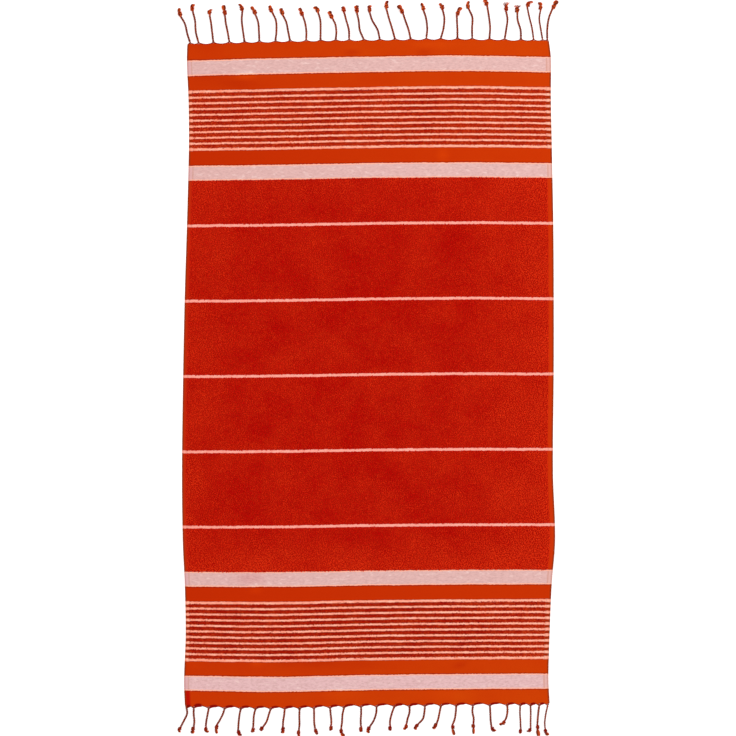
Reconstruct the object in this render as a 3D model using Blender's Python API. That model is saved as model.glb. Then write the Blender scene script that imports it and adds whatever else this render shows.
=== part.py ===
"""Beach towel: one flat length of cloth, with a fringe of twisted, knotted warp ends along each end.

Metres. X runs across the towel, Y along it, and Z up from the surface that it lies on. The cloth's place is
worked out in weave coordinates: u across, from -1 at the left edge to 1 at the right, and v along the warp.
"""

import math
from collections import namedtuple

import bmesh
import bpy
from mathutils import Vector

MM = 0.001

# Driving dimensions
WEAVE_TOP = 798 * MM  # v of the upper end, where the fringe starts
STEP_LENGTH = 3 * MM  # length over which the cloth changes from one thickness to the next
GAP = 0.3 * MM  # clearance between the cloth and each fringe
SCALLOP_DEPTH = 3.2 * MM  # how far an end is drawn back midway between two strings
SCALLOP_PITCH = 36 * MM  # usual distance between strings, at which the scallop has its full depth
CORNER_SLOPE = 0.4  # how far each corner is drawn back, as a share of its distance from the nearest string
SELVEDGE_WIDTH = 12 * MM  # the flat-woven strip down each side
SELVEDGE_THICKNESS = 1.6 * MM
FOOT_HALF_WIDTH = 2.4 * MM  # half the width of a string where it leaves the edge
EDGE_ROLL_WIDTH = 2.4 * MM  # the gathered warp threads along the edge, between the strings
EDGE_ROLL_HEIGHT = 1.9 * MM
CLOTH_COLOUR = (0.50, 0.012, 0.003, 1.0)
FRINGE_COLOUR = (0.34, 0.042, 0.008, 1.0)
COTTON_ROUGHNESS = 0.95

# The woven sections, from the upper end down: flat bands, ribbed bands, and the pile field
Section = namedtuple("Section", "name length thickness rows")
SECTIONS = (
    Section("upper end bands", 113 * MM, 1.6 * MM, 2),
    Section("upper ribs", 148 * MM, 2.4 * MM, 3),
    Section("upper inner bands", 73 * MM, 1.6 * MM, 2),
    Section("pile field", 958 * MM, 3.2 * MM, 14),
    Section("lower inner bands", 72 * MM, 1.6 * MM, 2),
    Section("lower ribs", 147 * MM, 2.4 * MM, 3),
    Section("lower end bands", 109 * MM, 1.6 * MM, 2),
)

# Where the two side edges run, at stations along the towel
Side = namedtuple("Side", "v left right")
SIDES = (
    Side(798 * MM, -442 * MM, 440 * MM),
    Side(757 * MM, -443 * MM, 445 * MM),
    Side(660 * MM, -439 * MM, 445 * MM),
    Side(560 * MM, -438 * MM, 447 * MM),
    Side(460 * MM, -440 * MM, 449 * MM),
    Side(350 * MM, -443 * MM, 451 * MM),
    Side(190 * MM, -448 * MM, 452 * MM),
    Side(0 * MM, -452 * MM, 452 * MM),
    Side(-250 * MM, -455 * MM, 450 * MM),
    Side(-420 * MM, -453 * MM, 455 * MM),
    Side(-530 * MM, -448 * MM, 447 * MM),
    Side(-650 * MM, -446 * MM, 442 * MM),
    Side(-760 * MM, -450 * MM, 439 * MM),
    Side(-822 * MM, -448 * MM, 442 * MM),
)

# How far a weft thread runs above (+) or below (-) its own middle, at five places across
ACROSS = (-1.0, -0.5, 0.0, 0.5, 1.0)
Lean = namedtuple("Lean", "v edge_left left middle right edge_right")
LEANS = (
    Lean(798 * MM, -9.5 * MM, -3.5 * MM, 0 * MM, 2.4 * MM, -1.5 * MM),
    Lean(480 * MM, -6.0 * MM, -3.3 * MM, 0 * MM, 1.6 * MM, 0.0 * MM),
    Lean(0 * MM, -4.6 * MM, -2.7 * MM, 0 * MM, 1.8 * MM, 1.0 * MM),
    Lean(-500 * MM, -3.0 * MM, -3.0 * MM, 0 * MM, 1.6 * MM, 2.0 * MM),
    Lean(-822 * MM, -0.5 * MM, -4.8 * MM, 0 * MM, 1.8 * MM, 3.2 * MM),
)

# Soft ridges where the cloth stands a little off the surface: centre, half sizes, turn and height
Ridge = namedtuple("Ridge", "name x y half_length half_width turn_deg height")
RIDGES = (
    Ridge("left, upper", -330 * MM, 340 * MM, 210 * MM, 95 * MM, 84, 3.4 * MM),
    Ridge("left, middle", -300 * MM, 10 * MM, 240 * MM, 100 * MM, 96, 3.8 * MM),
    Ridge("left, lower", -345 * MM, -330 * MM, 200 * MM, 90 * MM, 88, 3.0 * MM),
    Ridge("right, upper", 250 * MM, 250 * MM, 230 * MM, 100 * MM, 80, 3.2 * MM),
    Ridge("right, lower", 215 * MM, -210 * MM, 250 * MM, 105 * MM, 97, 3.6 * MM),
    Ridge("middle, upper", -95 * MM, 205 * MM, 150 * MM, 85 * MM, 60, 2.4 * MM),
    Ridge("ribs, left", -330 * MM, -620 * MM, 140 * MM, 70 * MM, 28, 2.6 * MM),
    Ridge("ribs, right", 235 * MM, -665 * MM, 160 * MM, 70 * MM, 38, 3.0 * MM),
    Ridge("right edge", 440 * MM, -420 * MM, 170 * MM, 80 * MM, 92, 2.8 * MM),
)

# The strings of each fringe, left to right, in millimetres. root and knot are their places across; near and
# far are the sway off the straight line at one and two thirds of the way; reach is how far the knot lies
# beyond the edge; tuft and turn are the length and the sideways lean of the cut ends past the knot.
Strand = namedtuple("Strand", "root near far knot reach tuft turn")
TOP_STRANDS = (
    Strand(-434, 0, 2, -460, 73, 12, -1),
    Strand(-414, -2, 1, -430, 85, 10, 1),
    Strand(-378, 0, 0, -389, 76, 8, 3),
    Strand(-339, 0, -1, -351, 77, 15, -2),
    Strand(-302, -2, -3, -310, 84, 9, -4),
    Strand(-266, 3, 5, -279, 76, 12, -7),
    Strand(-227, 5, 6, -238, 79, 9, -3),
    Strand(-191, 2, 4, -210, 66, 12, -3),
    Strand(-152, 4, 4, -165, 68, 10, -3),
    Strand(-117, 2, 4, -125, 75, 9, -4),
    Strand(-80, 4, 5, -93, 61, 10, -1),
    Strand(-47, 4, 2, -61, 76, 8, -1),
    Strand(-11, -4, -1, -28, 76, 8, 2),
    Strand(28, 3, -2, 3, 75, 9, 0),
    Strand(65, 0, -1, 45, 83, 10, 1),
    Strand(103, 2, 1, 80, 71, 14, -6),
    Strand(141, 5, 5, 133, 77, 11, -3),
    Strand(176, 4, 6, 180, 80, 9, -3),
    Strand(217, 0, -2, 220, 67, 12, 5),
    Strand(253, 3, 7, 243, 82, 10, 1),
    Strand(295, 4, 3, 287, 86, 7, -3),
    Strand(332, 3, 5, 337, 81, 11, 0),
    Strand(372, 2, -2, 362, 77, 10, 1),
    Strand(403, 0, -3, 388, 86, 10, 8),
    Strand(425, -3, -5, 420, 79, 14, -2),
    Strand(436, -5, -6, 453, 84, 11, 5),
)
BOTTOM_STRANDS = (
    Strand(-444, 7, 4, -461, 54, 8, -3),
    Strand(-426, 0, 2, -430, 52, 12, -1),
    Strand(-389, -3, -3, -396, 51, 9, 4),
    Strand(-350, 0, -1, -372, 47, 15, 0),
    Strand(-311, -3, -3, -316, 56, 12, 5),
    Strand(-275, -2, -1, -282, 53, 8, -1),
    Strand(-238, 1, 4, -259, 48, 8, -6),
    Strand(-204, 0, -1, -209, 56, 9, 0),
    Strand(-168, 0, 1, -170, 61, 9, 1),
    Strand(-133, -1, -2, -127, 59, 10, 3),
    Strand(-94, 1, 2, -92, 56, 8, 0),
    Strand(-59, -3, -1, -67, 60, 11, 3),
    Strand(-18, 0, -1, -19, 56, 9, 0),
    Strand(20, 4, 4, 0, 52, 13, 0),
    Strand(64, -3, -4, 53, 51, 10, 1),
    Strand(100, 3, 1, 90, 48, 11, -4),
    Strand(138, 5, 6, 115, 50, 9, -4),
    Strand(177, 1, 2, 163, 46, 10, -6),
    Strand(214, 1, 0, 206, 51, 18, 3),
    Strand(255, -2, 1, 255, 48, 20, -2),
    Strand(296, -1, -2, 302, 57, 8, 7),
    Strand(338, 4, 5, 328, 43, 9, -8),
    Strand(370, -1, 0, 371, 63, 7, -1),
    Strand(395, 1, 1, 393, 60, 8, -4),
    Strand(417, -1, -1, 413, 52, 20, 2),
    Strand(438, -3, -4, 433, 62, 12, 6),
)

# A string's cross-sections, from its foot outwards: start is the place that the distance is counted from
Ring = namedtuple("Ring", "name start distance half_width height")
RINGS = (
    Ring("neck", "root", 7 * MM, 1.9 * MM, 3.4 * MM),
    Ring("first third", "near", 0 * MM, 1.8 * MM, 3.4 * MM),
    Ring("second third", "far", 0 * MM, 1.8 * MM, 3.4 * MM),
    Ring("knot begins", "knot", -5 * MM, 2.0 * MM, 3.8 * MM),
    Ring("knot", "knot", 0 * MM, 4.8 * MM, 8.2 * MM),
    Ring("knot ends", "knot", 4.5 * MM, 2.6 * MM, 4.6 * MM),
    Ring("cut ends", "tip", 0 * MM, 3.2 * MM, 4.0 * MM),
)
FLAT_SHARE = 0.55  # width of a string's flat underside and top, as a share of its full width

WEAVE_BOTTOM = WEAVE_TOP - sum(section.length for section in SECTIONS)

# The points along each end's edge: for every string two at its foot, and three from there to the next one
POINTS_PER_STRAND = 5
FOOT_POINT = 2
LAST_POINT = POINTS_PER_STRAND * len(TOP_STRANDS)
LAST_FOOT = LAST_POINT - POINTS_PER_STRAND + FOOT_POINT

# The cloth's lengthwise lines, by the point of the end's edge that each starts from
INNER_LINES = tuple(range(POINTS_PER_STRAND, LAST_POINT, POINTS_PER_STRAND))
LINES = (0, FOOT_POINT + 1) + INNER_LINES + (LAST_FOOT, LAST_POINT)
SELVEDGE_LINES = {
    FOOT_POINT + 1: (-1, SELVEDGE_WIDTH),
    INNER_LINES[0]: (-1, SELVEDGE_WIDTH + STEP_LENGTH),
    INNER_LINES[-1]: (1, SELVEDGE_WIDTH + STEP_LENGTH),
    LAST_FOOT: (1, SELVEDGE_WIDTH),
}
THIN_LINES = (0, FOOT_POINT + 1, LAST_FOOT, LAST_POINT)
TINY = 1e-6


def remove_all_objects():
    for obj in list(bpy.data.objects):
        bpy.data.objects.remove(obj, do_unlink=True)


def smooth_through(places, values, place):
    """Value at a place on a smooth curve through the values given at rising places."""
    last = len(places) - 1
    k = 0
    while k < last - 1 and place > places[k + 1]:
        k += 1

    def slope(i):
        before = max(i - 1, 0)
        after = min(i + 1, last)
        return (values[after] - values[before]) / (places[after] - places[before])

    span = places[k + 1] - places[k]
    t = min(max((place - places[k]) / span, 0.0), 1.0)
    rise = values[k + 1] - values[k]
    start_slope = slope(k) * span
    end_slope = slope(k + 1) * span
    square = 3 * rise - 2 * start_slope - end_slope
    cube = start_slope + end_slope - 2 * rise
    return values[k] + t * (start_slope + t * (square + t * cube))


def along(stations, column, v):
    """Value of a table's column at v, between the stations that run down the towel."""
    places = [-station.v for station in stations]
    values = [getattr(station, column) for station in stations]
    return smooth_through(places, values, -v)


def side_x(v, u):
    """Place across, in metres, of the point u at v."""
    left = along(SIDES, "left", v)
    right = along(SIDES, "right", v)
    return left + (right - left) * (u + 1) / 2


def place_u(v, x):
    """The weave coordinate u of the place x at v."""
    left = along(SIDES, "left", v)
    right = along(SIDES, "right", v)
    return 2 * (x - left) / (right - left) - 1


def lean(v, u):
    """How far the weft thread at v runs above or below its middle, at u."""
    values = [along(LEANS, column, v) for column in Lean._fields[1:]]
    return smooth_through(ACROSS, values, u)


def ridge_height(x, y):
    """How far the underside stands off the surface."""
    height = 0.0
    for ridge in RIDGES:
        turn = math.radians(ridge.turn_deg)
        dx = x - ridge.x
        dy = y - ridge.y
        length_share = (dx * math.cos(turn) + dy * math.sin(turn)) / ridge.half_length
        width_share = (dy * math.cos(turn) - dx * math.sin(turn)) / ridge.half_width
        share = min(math.hypot(length_share, width_share), 1.0)
        height += ridge.height * math.cos(share * math.pi / 2) ** 2
    return height


def foot_x(strands, number, side):
    """Place across of the left (side -1) or right (side 1) end of a string's foot."""
    return strands[number].root * MM + side * FOOT_HALF_WIDTH


def end_point(strands, end_v, index):
    """Point index of an end's edge: a foot of two points for each string, and three points between strings."""
    number = (index + 2) // POINTS_PER_STRAND
    place = index - POINTS_PER_STRAND * number
    if number == 0:
        start = side_x(end_v, -1)
        end = foot_x(strands, 0, -1)
        share = place / 2
        drawn_back = CORNER_SLOPE * (end - start) * (1 - share) ** 2
    elif number == len(strands):
        start = foot_x(strands, number - 1, 1)
        end = side_x(end_v, 1)
        share = (place + 2) / 2
        drawn_back = CORNER_SLOPE * (end - start) * share**2
    else:
        start = foot_x(strands, number - 1, 1)
        end = foot_x(strands, number, -1)
        share = (place + 2) / 4
        depth = SCALLOP_DEPTH * min((end - start) / SCALLOP_PITCH, 1.0)
        drawn_back = depth * math.sin(share * math.pi)
    x = start + (end - start) * share
    y = end_v + lean(end_v, place_u(end_v, x)) - math.copysign(drawn_back, end_v)
    return Vector((x, y, 0.0))


def weave_rows():
    """v and thickness of each row of the cloth's mesh, from the upper end down."""
    rows = []
    v = WEAVE_TOP
    for number, section in enumerate(SECTIONS):
        start = v - (STEP_LENGTH / 2 if number else 0)
        end = v - section.length + (STEP_LENGTH / 2 if number < len(SECTIONS) - 1 else 0)
        for row in range(section.rows + 1):
            rows.append((start + (end - start) * row / section.rows, section.thickness))
        v -= section.length
    return rows


def cloth_point(line, v):
    """Place of a point of the cloth on one of its lines, which run from the upper end to the lower one."""
    if line in SELVEDGE_LINES:
        edge, inset = SELVEDGE_LINES[line]
        x = side_x(v, edge) - edge * inset
        return Vector((x, v + lean(v, place_u(v, x)), 0.0))
    share = (WEAVE_TOP - v) / (WEAVE_TOP - WEAVE_BOTTOM)
    top_u = place_u(WEAVE_TOP, end_point(TOP_STRANDS, WEAVE_TOP, line).x)
    bottom_u = place_u(WEAVE_BOTTOM, end_point(BOTTOM_STRANDS, WEAVE_BOTTOM, line).x)
    u = top_u + (bottom_u - top_u) * share
    return Vector((side_x(v, u), v + lean(v, u), 0.0))


def solid_object(name, bm, colour):
    """Object of one closed solid, with its faces turned out and its own material."""
    bmesh.ops.recalc_face_normals(bm, faces=bm.faces)
    mesh = bpy.data.meshes.new(name)
    bm.to_mesh(mesh)
    bm.free()
    material = bpy.data.materials.new(name)
    material.use_nodes = True
    shader = material.node_tree.nodes["Principled BSDF"]
    shader.inputs["Base Color"].default_value = colour
    shader.inputs["Roughness"].default_value = COTTON_ROUGHNESS
    shader.inputs["Metallic"].default_value = 0.0
    mesh.materials.append(material)
    obj = bpy.data.objects.new(name, mesh)
    bpy.context.scene.collection.objects.link(obj)
    return obj


def make_cloth():
    """The cloth: a grid laid out in the weave, its ends scalloped between the strings, given its thickness."""
    rows = weave_rows()
    columns = len(LINES) - 1
    bm = bmesh.new()
    bmesh.ops.create_grid(bm, x_segments=columns, y_segments=len(rows) - 1, size=1.0)
    edges_by_cuts = {}
    for edge in bm.edges:
        if all(abs(vert.co.y) > 1 - TINY for vert in edge.verts):
            column = min(round((vert.co.x + 1) / 2 * columns) for vert in edge.verts)
            cuts = LINES[column + 1] - LINES[column] - 1
            edges_by_cuts.setdefault(cuts, []).append(edge)
    for cuts, edges in edges_by_cuts.items():
        if cuts:
            bmesh.ops.subdivide_edges(bm, edges=edges, cuts=cuts)
    thickness = bm.verts.layers.float.new("thickness")
    for vert in bm.verts:
        place = (vert.co.x + 1) / 2 * columns
        column = min(int(place + TINY), columns - 1)
        index = LINES[column] + round((place - column) * (LINES[column + 1] - LINES[column]))
        row = round((1 - vert.co.y) / 2 * (len(rows) - 1))
        v, vert[thickness] = rows[row]
        if index in THIN_LINES:
            vert[thickness] = min(vert[thickness], SELVEDGE_THICKNESS)
        if row == 0:
            vert.co = end_point(TOP_STRANDS, WEAVE_TOP, index)
        elif row == len(rows) - 1:
            vert.co = end_point(BOTTOM_STRANDS, WEAVE_BOTTOM, index)
        else:
            vert.co = cloth_point(index, v)
        vert.co.z = ridge_height(vert.co.x, vert.co.y)
    raised = bmesh.ops.extrude_face_region(bm, geom=bm.faces[:], use_keep_orig=True)
    for vert in raised["geom"]:
        if isinstance(vert, bmesh.types.BMVert):
            vert.co.z += vert[thickness]
    return solid_object("towel_cloth", bm, CLOTH_COLOUR)


def strand_places(strand, foot, outward):
    """The named places along a string, in the plane of the surface."""
    places = {"root": foot}
    knot = Vector((strand.knot * MM, foot.y + outward * strand.reach * MM))
    for name, share, sway in (("near", 1 / 3, strand.near), ("far", 2 / 3, strand.far)):
        places[name] = foot.lerp(knot, share) + Vector((sway * MM, 0.0))
    places["knot"] = knot
    places["tip"] = knot + Vector((strand.turn, outward * strand.tuft)) * MM
    return places


def strand_rings(strand, foot, outward):
    """Centre, heading and sizes of each cross-section of a string."""
    places = strand_places(strand, foot, outward)
    heading_ends = {
        "root": ("root", "near"),
        "near": ("root", "far"),
        "far": ("near", "knot"),
        "knot": ("far", "tip"),
        "tip": ("knot", "tip"),
    }
    for ring in RINGS:
        start, end = heading_ends[ring.start]
        heading = (places[end] - places[start]).normalized()
        centre = places[ring.start] + heading * ring.distance
        yield centre, heading, ring.half_width, ring.height


def draw_strand(bm, face, strand, outward):
    """Draw a foot's six-sided face out along its string, one cross-section after another."""
    foot = face.calc_center_median().to_2d()
    heading = Vector((0.0, outward))
    height = EDGE_ROLL_HEIGHT
    for new_centre, new_heading, half_width, new_height in strand_rings(strand, foot, outward):
        side = Vector((heading.y, -heading.x))
        new_side = Vector((new_heading.y, -new_heading.x))
        centre = face.calc_center_median().to_2d()
        face = bmesh.ops.extrude_discrete_faces(bm, faces=[face])["faces"][0]
        for vert in face.verts:
            level = round(2 * vert.co.z / height) / 2
            hand = math.copysign(1.0, (vert.co.to_2d() - centre).dot(side))
            share = 1.0 if level == 0.5 else FLAT_SHARE
            place = new_centre + new_side * hand * share * half_width
            vert.co = (place.x, place.y, level * new_height)
        heading = new_heading
        height = new_height


def find_feet(bm, index_of, strands, end_v):
    """The outer face of the edge roll at each string's foot."""
    feet = {}
    for face in bm.faces:
        first = min(vert[index_of] for vert in face.verts)
        last = max(vert[index_of] for vert in face.verts)
        middle = face.calc_center_median()
        upright = abs(middle.z - EDGE_ROLL_HEIGHT / 2) < EDGE_ROLL_HEIGHT / 4
        outer = abs(middle.y - end_point(strands, end_v, first).y) > GAP + EDGE_ROLL_WIDTH / 2
        if upright and outer and first < last and first % POINTS_PER_STRAND == FOOT_POINT:
            feet[first // POINTS_PER_STRAND] = face
    return feet


def make_fringe(name, strands, end_v):
    """A fringe: the roll of gathered threads along an end's edge, with every string drawn out of it."""
    outward = math.copysign(1.0, end_v)
    bm = bmesh.new()
    bmesh.ops.create_grid(bm, x_segments=LAST_POINT, y_segments=1, size=1.0)
    index_of = bm.verts.layers.int.new("index")
    for vert in bm.verts:
        vert[index_of] = round((vert.co.x + 1) / 2 * LAST_POINT)
        beyond = GAP + (EDGE_ROLL_WIDTH if vert.co.y > 0 else 0.0)
        vert.co = end_point(strands, end_v, vert[index_of]) + Vector((0.0, outward * beyond, 0.0))
    raised = bmesh.ops.extrude_face_region(bm, geom=bm.faces[:], use_keep_orig=True)
    for vert in raised["geom"]:
        if isinstance(vert, bmesh.types.BMVert):
            vert.co.z = EDGE_ROLL_HEIGHT
    feet = find_feet(bm, index_of, strands, end_v)
    uprights = {
        edge
        for face in feet.values()
        for edge in face.edges
        if abs(edge.verts[0].co.z - edge.verts[1].co.z) > EDGE_ROLL_HEIGHT / 2
    }
    bmesh.ops.subdivide_edges(bm, edges=list(uprights), cuts=1)
    for number, strand in enumerate(strands):
        draw_strand(bm, feet[number], strand, outward)
    return solid_object(name, bm, FRINGE_COLOUR)


def main():
    remove_all_objects()
    make_cloth()
    make_fringe("fringe_top", TOP_STRANDS, WEAVE_TOP)
    make_fringe("fringe_bottom", BOTTOM_STRANDS, WEAVE_BOTTOM)


main()
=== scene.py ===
"""Beach towel: a flat-woven cotton cloth with a terry field and ribs, striped bands and knotted fringes.

Places are in metres: X runs across the towel, Y along it, and Z up from the surface that it lies on. The
cloth is laid out in weave coordinates: u across, from -1 at the left edge to 1 at the right, and v along
the warp. Tables are in millimetres and degrees.
"""

import math
from collections import namedtuple
from functools import reduce

import bmesh
import bpy
import numpy as np
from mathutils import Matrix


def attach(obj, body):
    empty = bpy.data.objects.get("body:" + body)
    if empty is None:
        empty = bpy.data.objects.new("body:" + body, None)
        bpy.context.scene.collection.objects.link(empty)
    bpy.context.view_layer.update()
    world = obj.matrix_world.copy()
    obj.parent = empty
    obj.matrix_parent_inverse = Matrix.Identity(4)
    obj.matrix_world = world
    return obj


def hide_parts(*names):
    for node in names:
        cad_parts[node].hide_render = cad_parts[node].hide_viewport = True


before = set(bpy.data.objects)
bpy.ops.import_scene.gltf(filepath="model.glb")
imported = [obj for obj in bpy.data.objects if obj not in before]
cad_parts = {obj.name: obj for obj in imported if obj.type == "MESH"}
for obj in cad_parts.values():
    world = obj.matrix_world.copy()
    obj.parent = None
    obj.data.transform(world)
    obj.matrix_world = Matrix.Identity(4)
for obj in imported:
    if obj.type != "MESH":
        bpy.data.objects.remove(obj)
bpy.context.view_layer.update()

bl_info = {
    "name": "Fringed Beach Towel",
    "version": (1, 0, 0),
    "blender": (4, 5, 0),
    "location": "3D View > Sidebar > Towel",
    "description": "Makes a terry beach towel with woven bands and knotted fringes",
    "category": "Object",
}

MM = 0.001

# The photograph's view: straight down, from high up
FRAME_WIDTH = 1.7958  # across the picture, at the surface
CAMERA_X = -1.2 * MM
LENS = 85.0
SENSOR = 36.0


def table(columns, rows, defaults=()):
    """Rows of numbers, with their columns named."""
    row_type = namedtuple("Row", columns, defaults=defaults)
    return [row_type(*row) for row in rows]


# The cloth
CLOTH_FLAT = (0.91, 1.62)  # as woven, without the fringes
WEAVE_TOP = 800 * MM
WEAVE_BOTTOM = -823.5 * MM
SELVEDGES = (10.5 * MM, 14.0 * MM)  # flat-woven strips down the left and right sides, free of terry
SELVEDGE_LINES = (0, 0.8, 1.7, 3.0, 5.0, 8.0, 10.6, 12.5, 15.5)  # millimetres in, lines of its mesh
END_LINES = (0, 1.2, 3.0, 5.5, 9.0, 13.0, 18.0)  # the same at its ends
EDGE_BEVEL = 0.3  # as a share of the thickness
FLAT_NORMAL = 0.5  # a face lies flat when the upright part of its normal is greater
SHARP_EDGE = math.radians(30)

# Stripes across the cloth. first is the middle of the uppermost one of a group.
Stripe = namedtuple("Stripe", "first half_width pitch count", defaults=(0, 1))
TERRY_FIELD = Stripe(-15.3, 479.2)
TERRY_LINES = Stripe(352.9, 3.3, 184.3, 5)
UPPER_LINES = Stripe(682.1, 2.7, 14.16, 11)
LOWER_LINES = Stripe(-570.2, 2.85, 14.0, 11)
OUTER_LINES = (Stripe(682.1, 3.25, 141.6, 2), Stripe(-570.2, 3.3, 140.0, 2))  # each group's first and last
RIBS = (Stripe(611.3, 71.0), Stripe(-640.0, 70.3))
PALE_BANDS = (Stripe(740.8, 18.7), Stripe(481.9, 18.1), Stripe(-512.4, 17.9), Stripe(-767.6, 18.2))

# Where the two side edges run, at stations along the towel
SIDES = table("v left right", (
    (800, -442, 440), (757, -443, 445), (660, -439, 445), (560, -438, 447), (460, -440, 449),
    (350, -443, 451), (190, -448, 452), (0, -452, 452), (-250, -455, 450), (-420, -453, 455),
    (-530, -448, 447), (-650, -446, 442), (-760, -450, 439), (-824, -448, 442),
))

# How far a weft thread runs above (+) or below (-) its own middle, at five places across
ACROSS = (-1.0, -0.5, 0.0, 0.5, 1.0)
LEANS = table("v edge_left left middle right edge_right", (
    (800, -9.5, -3.5, 0, 2.4, -1.5), (740, -9.8, -4.4, -0.4, 2.5, -1.0),
    (610, -8.5, -4.4, -0.5, 1.9, -0.6), (480, -7.1, -4.4, -0.3, 1.4, -0.1),
    (0, -5.4, -3.9, -0.35, 1.8, 1.0), (-500, -3.0, -3.3, 0.15, 2.1, 2.8),
    (-640, -1.9, -4.0, 0.6, 2.9, 3.5), (-760, -0.9, -3.9, 0.4, 2.9, 4.0),
    (-824, -0.5, -4.8, 0, 1.8, 3.2),
))

# Raised or differently coloured places: each falls off smoothly from its middle to the rim of an ellipse
MOUND = "x y half_length half_width height turn"

# Soft ridges and narrow creases where the cloth stands a little off the surface
RIDGES = table(MOUND, (
    (-330, 340, 210, 95, 3.4, 84), (-300, 10, 240, 100, 3.8, 96), (-345, -330, 200, 90, 3.0, 88),
    (250, 250, 230, 100, 3.2, 80), (215, -210, 250, 105, 3.6, 97), (-95, 205, 150, 85, 2.4, 60),
    (-330, -620, 140, 70, 2.6, 28), (235, -665, 160, 70, 3.0, 38), (440, -420, 170, 80, 2.8, 92),
    (232, -668, 70, 13, 1.3, 56), (172, -650, 55, 12, 0.9, 44), (-335, -606, 80, 14, 1.1, 24),
    (222, -729, 60, 12, 0.9, 12), (-180, 606, 75, 13, 0.8, -22), (345, 566, 60, 12, 0.8, 34),
))

# Patches of painted shade (-) and painted light (+) on the terry, where its soft relief would catch less or
# more light
PILE_SHADE_PATCHES = table(MOUND, (
    (-235, 234, 75, 62, -0.20), (-167, 208, 60, 50, -0.17), (-225, 122, 85, 52, -0.21),
    (189, 98, 60, 40, -0.23), (-294, 26, 60, 48, -0.23), (-318, -78, 48, 90, -0.16),
    (-258, -150, 50, 42, -0.13), (-250, -236, 60, 45, -0.17), (20, -248, 130, 42, -0.18),
    (-300, -348, 55, 40, -0.26), (-30, -416, 95, 38, -0.30), (-20, 262, 80, 50, -0.09),
    (135, -110, 60, 50, -0.08), (124, 62, 60, 44, 0.17), (322, -98, 60, 50, 0.17),
    (322, -356, 75, 62, 0.14), (-352, -466, 60, 42, 0.21), (-170, -456, 110, 36, 0.13),
    (182, -250, 46, 34, 0.18), (130, -410, 46, 34, 0.16), (370, -310, 60, 60, 0.26),
    (-421, -240, 45, 85, 0.18), (400, -340, 60, 90, 0.14), (-20, 190, 150, 190, -0.15),
    (272, 90, 60, 130, -0.10), (-167, 434, 70, 40, 0.15), (-167, -298, 50, 40, 0.12),
    (272, -298, 50, 45, -0.14),
), defaults=(0,))

# Painted shade of soft folds, and painted light on lighter places, of the flat-woven bands and ribs, darker
# (-) or lighter (+)
FOLD_SHADE = table(MOUND, (
    (-40, 768, 34, 13, -0.30), (135, 768, 34, 13, -0.30), (162, 789, 90, 14, 0.20),
    (-299, 714, 44, 12, 0.45), (-318, 693, 80, 13, -0.28), (182, 520, 26, 24, 0.30),
    (-288, -512, 60, 30, -0.17), (-275, -540, 26, 14, 0.30), (-272, -722, 26, 14, 0.28),
    (-120, -722, 110, 16, -0.25), (-205, -722, 34, 18, -0.14), (-10, -722, 80, 18, -0.13),
    (-424, -722, 30, 20, 0.15), (-70, -797, 90, 24, 0.17), (185, -797, 110, 24, 0.15),
    (-410, 786, 120, 22, -0.11), (-380, 708, 100, 18, -0.14), (226, -722, 34, 12, -0.28, 14),
    (229, -672, 62, 11, -0.22, 36), (-335, -604, 84, 13, -0.18, -24),
), defaults=(0,))

# The strings of each fringe, left to right. root and knot are their places across; near and far are the
# sway off the straight line at one and two thirds of the way; reach is how far the knot lies beyond the
# edge; tuft and turn are the length and the sideways lean of the cut ends past the knot; opening is how
# far those spread, and thick how thick the string is, both as a share of the usual.
STRAND = "root near far knot reach tuft turn opening thick"
TOP_STRANDS = table(STRAND, (
    (-434, 1, 4, -460, 69, 15, -3), (-414, -2, 1, -429, 82, 12, 2), (-378, 0, 0, -387, 72, 8, 4),
    (-339, 0, -1, -351, 70, 19, -3), (-302, -2, -3, -308, 79, 12, -6), (-266, 3, 5, -278, 69, 15, -7),
    (-227, 6, 8, -237, 74, 11, -5), (-191, 2, 4, -211, 66, 12, -3), (-152, 4, 4, -162, 64, 14, -6),
    (-117, 3, 5, -125, 71, 10, -6), (-80, 5, 6, -90, 56, 13, -6), (-47, 4, 2, -61, 71, 9, -2),
    (-11, -4, -1, -29, 69, 13, 0), (28, 3, -2, 2, 70, 12, 1), (65, 0, -1, 43, 78, 14, 2),
    (103, 2, 1, 82, 66, 15, -9), (141, 5, 5, 133, 72, 14, -3), (176, 6, 7, 179, 74, 11, -5),
    (217, 0, -1, 217, 60, 15, 9), (253, 3, 7, 243, 77, 13, 0), (295, 4, 3, 288, 85, 9, -6),
    (332, 3, 5, 335, 72, 17, 1, 1.4), (372, 2, -2, 363, 70, 13, 0, 1.5),
    (403, 1, -1, 388, 84, 9, 10, 1.0, 0.88), (425, -3, -5, 420, 77, 14, -2, 1.0, 0.88),
    (436, -5, -6, 451, 80, 15, 9),
), defaults=(1.0, 1.0))
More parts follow.
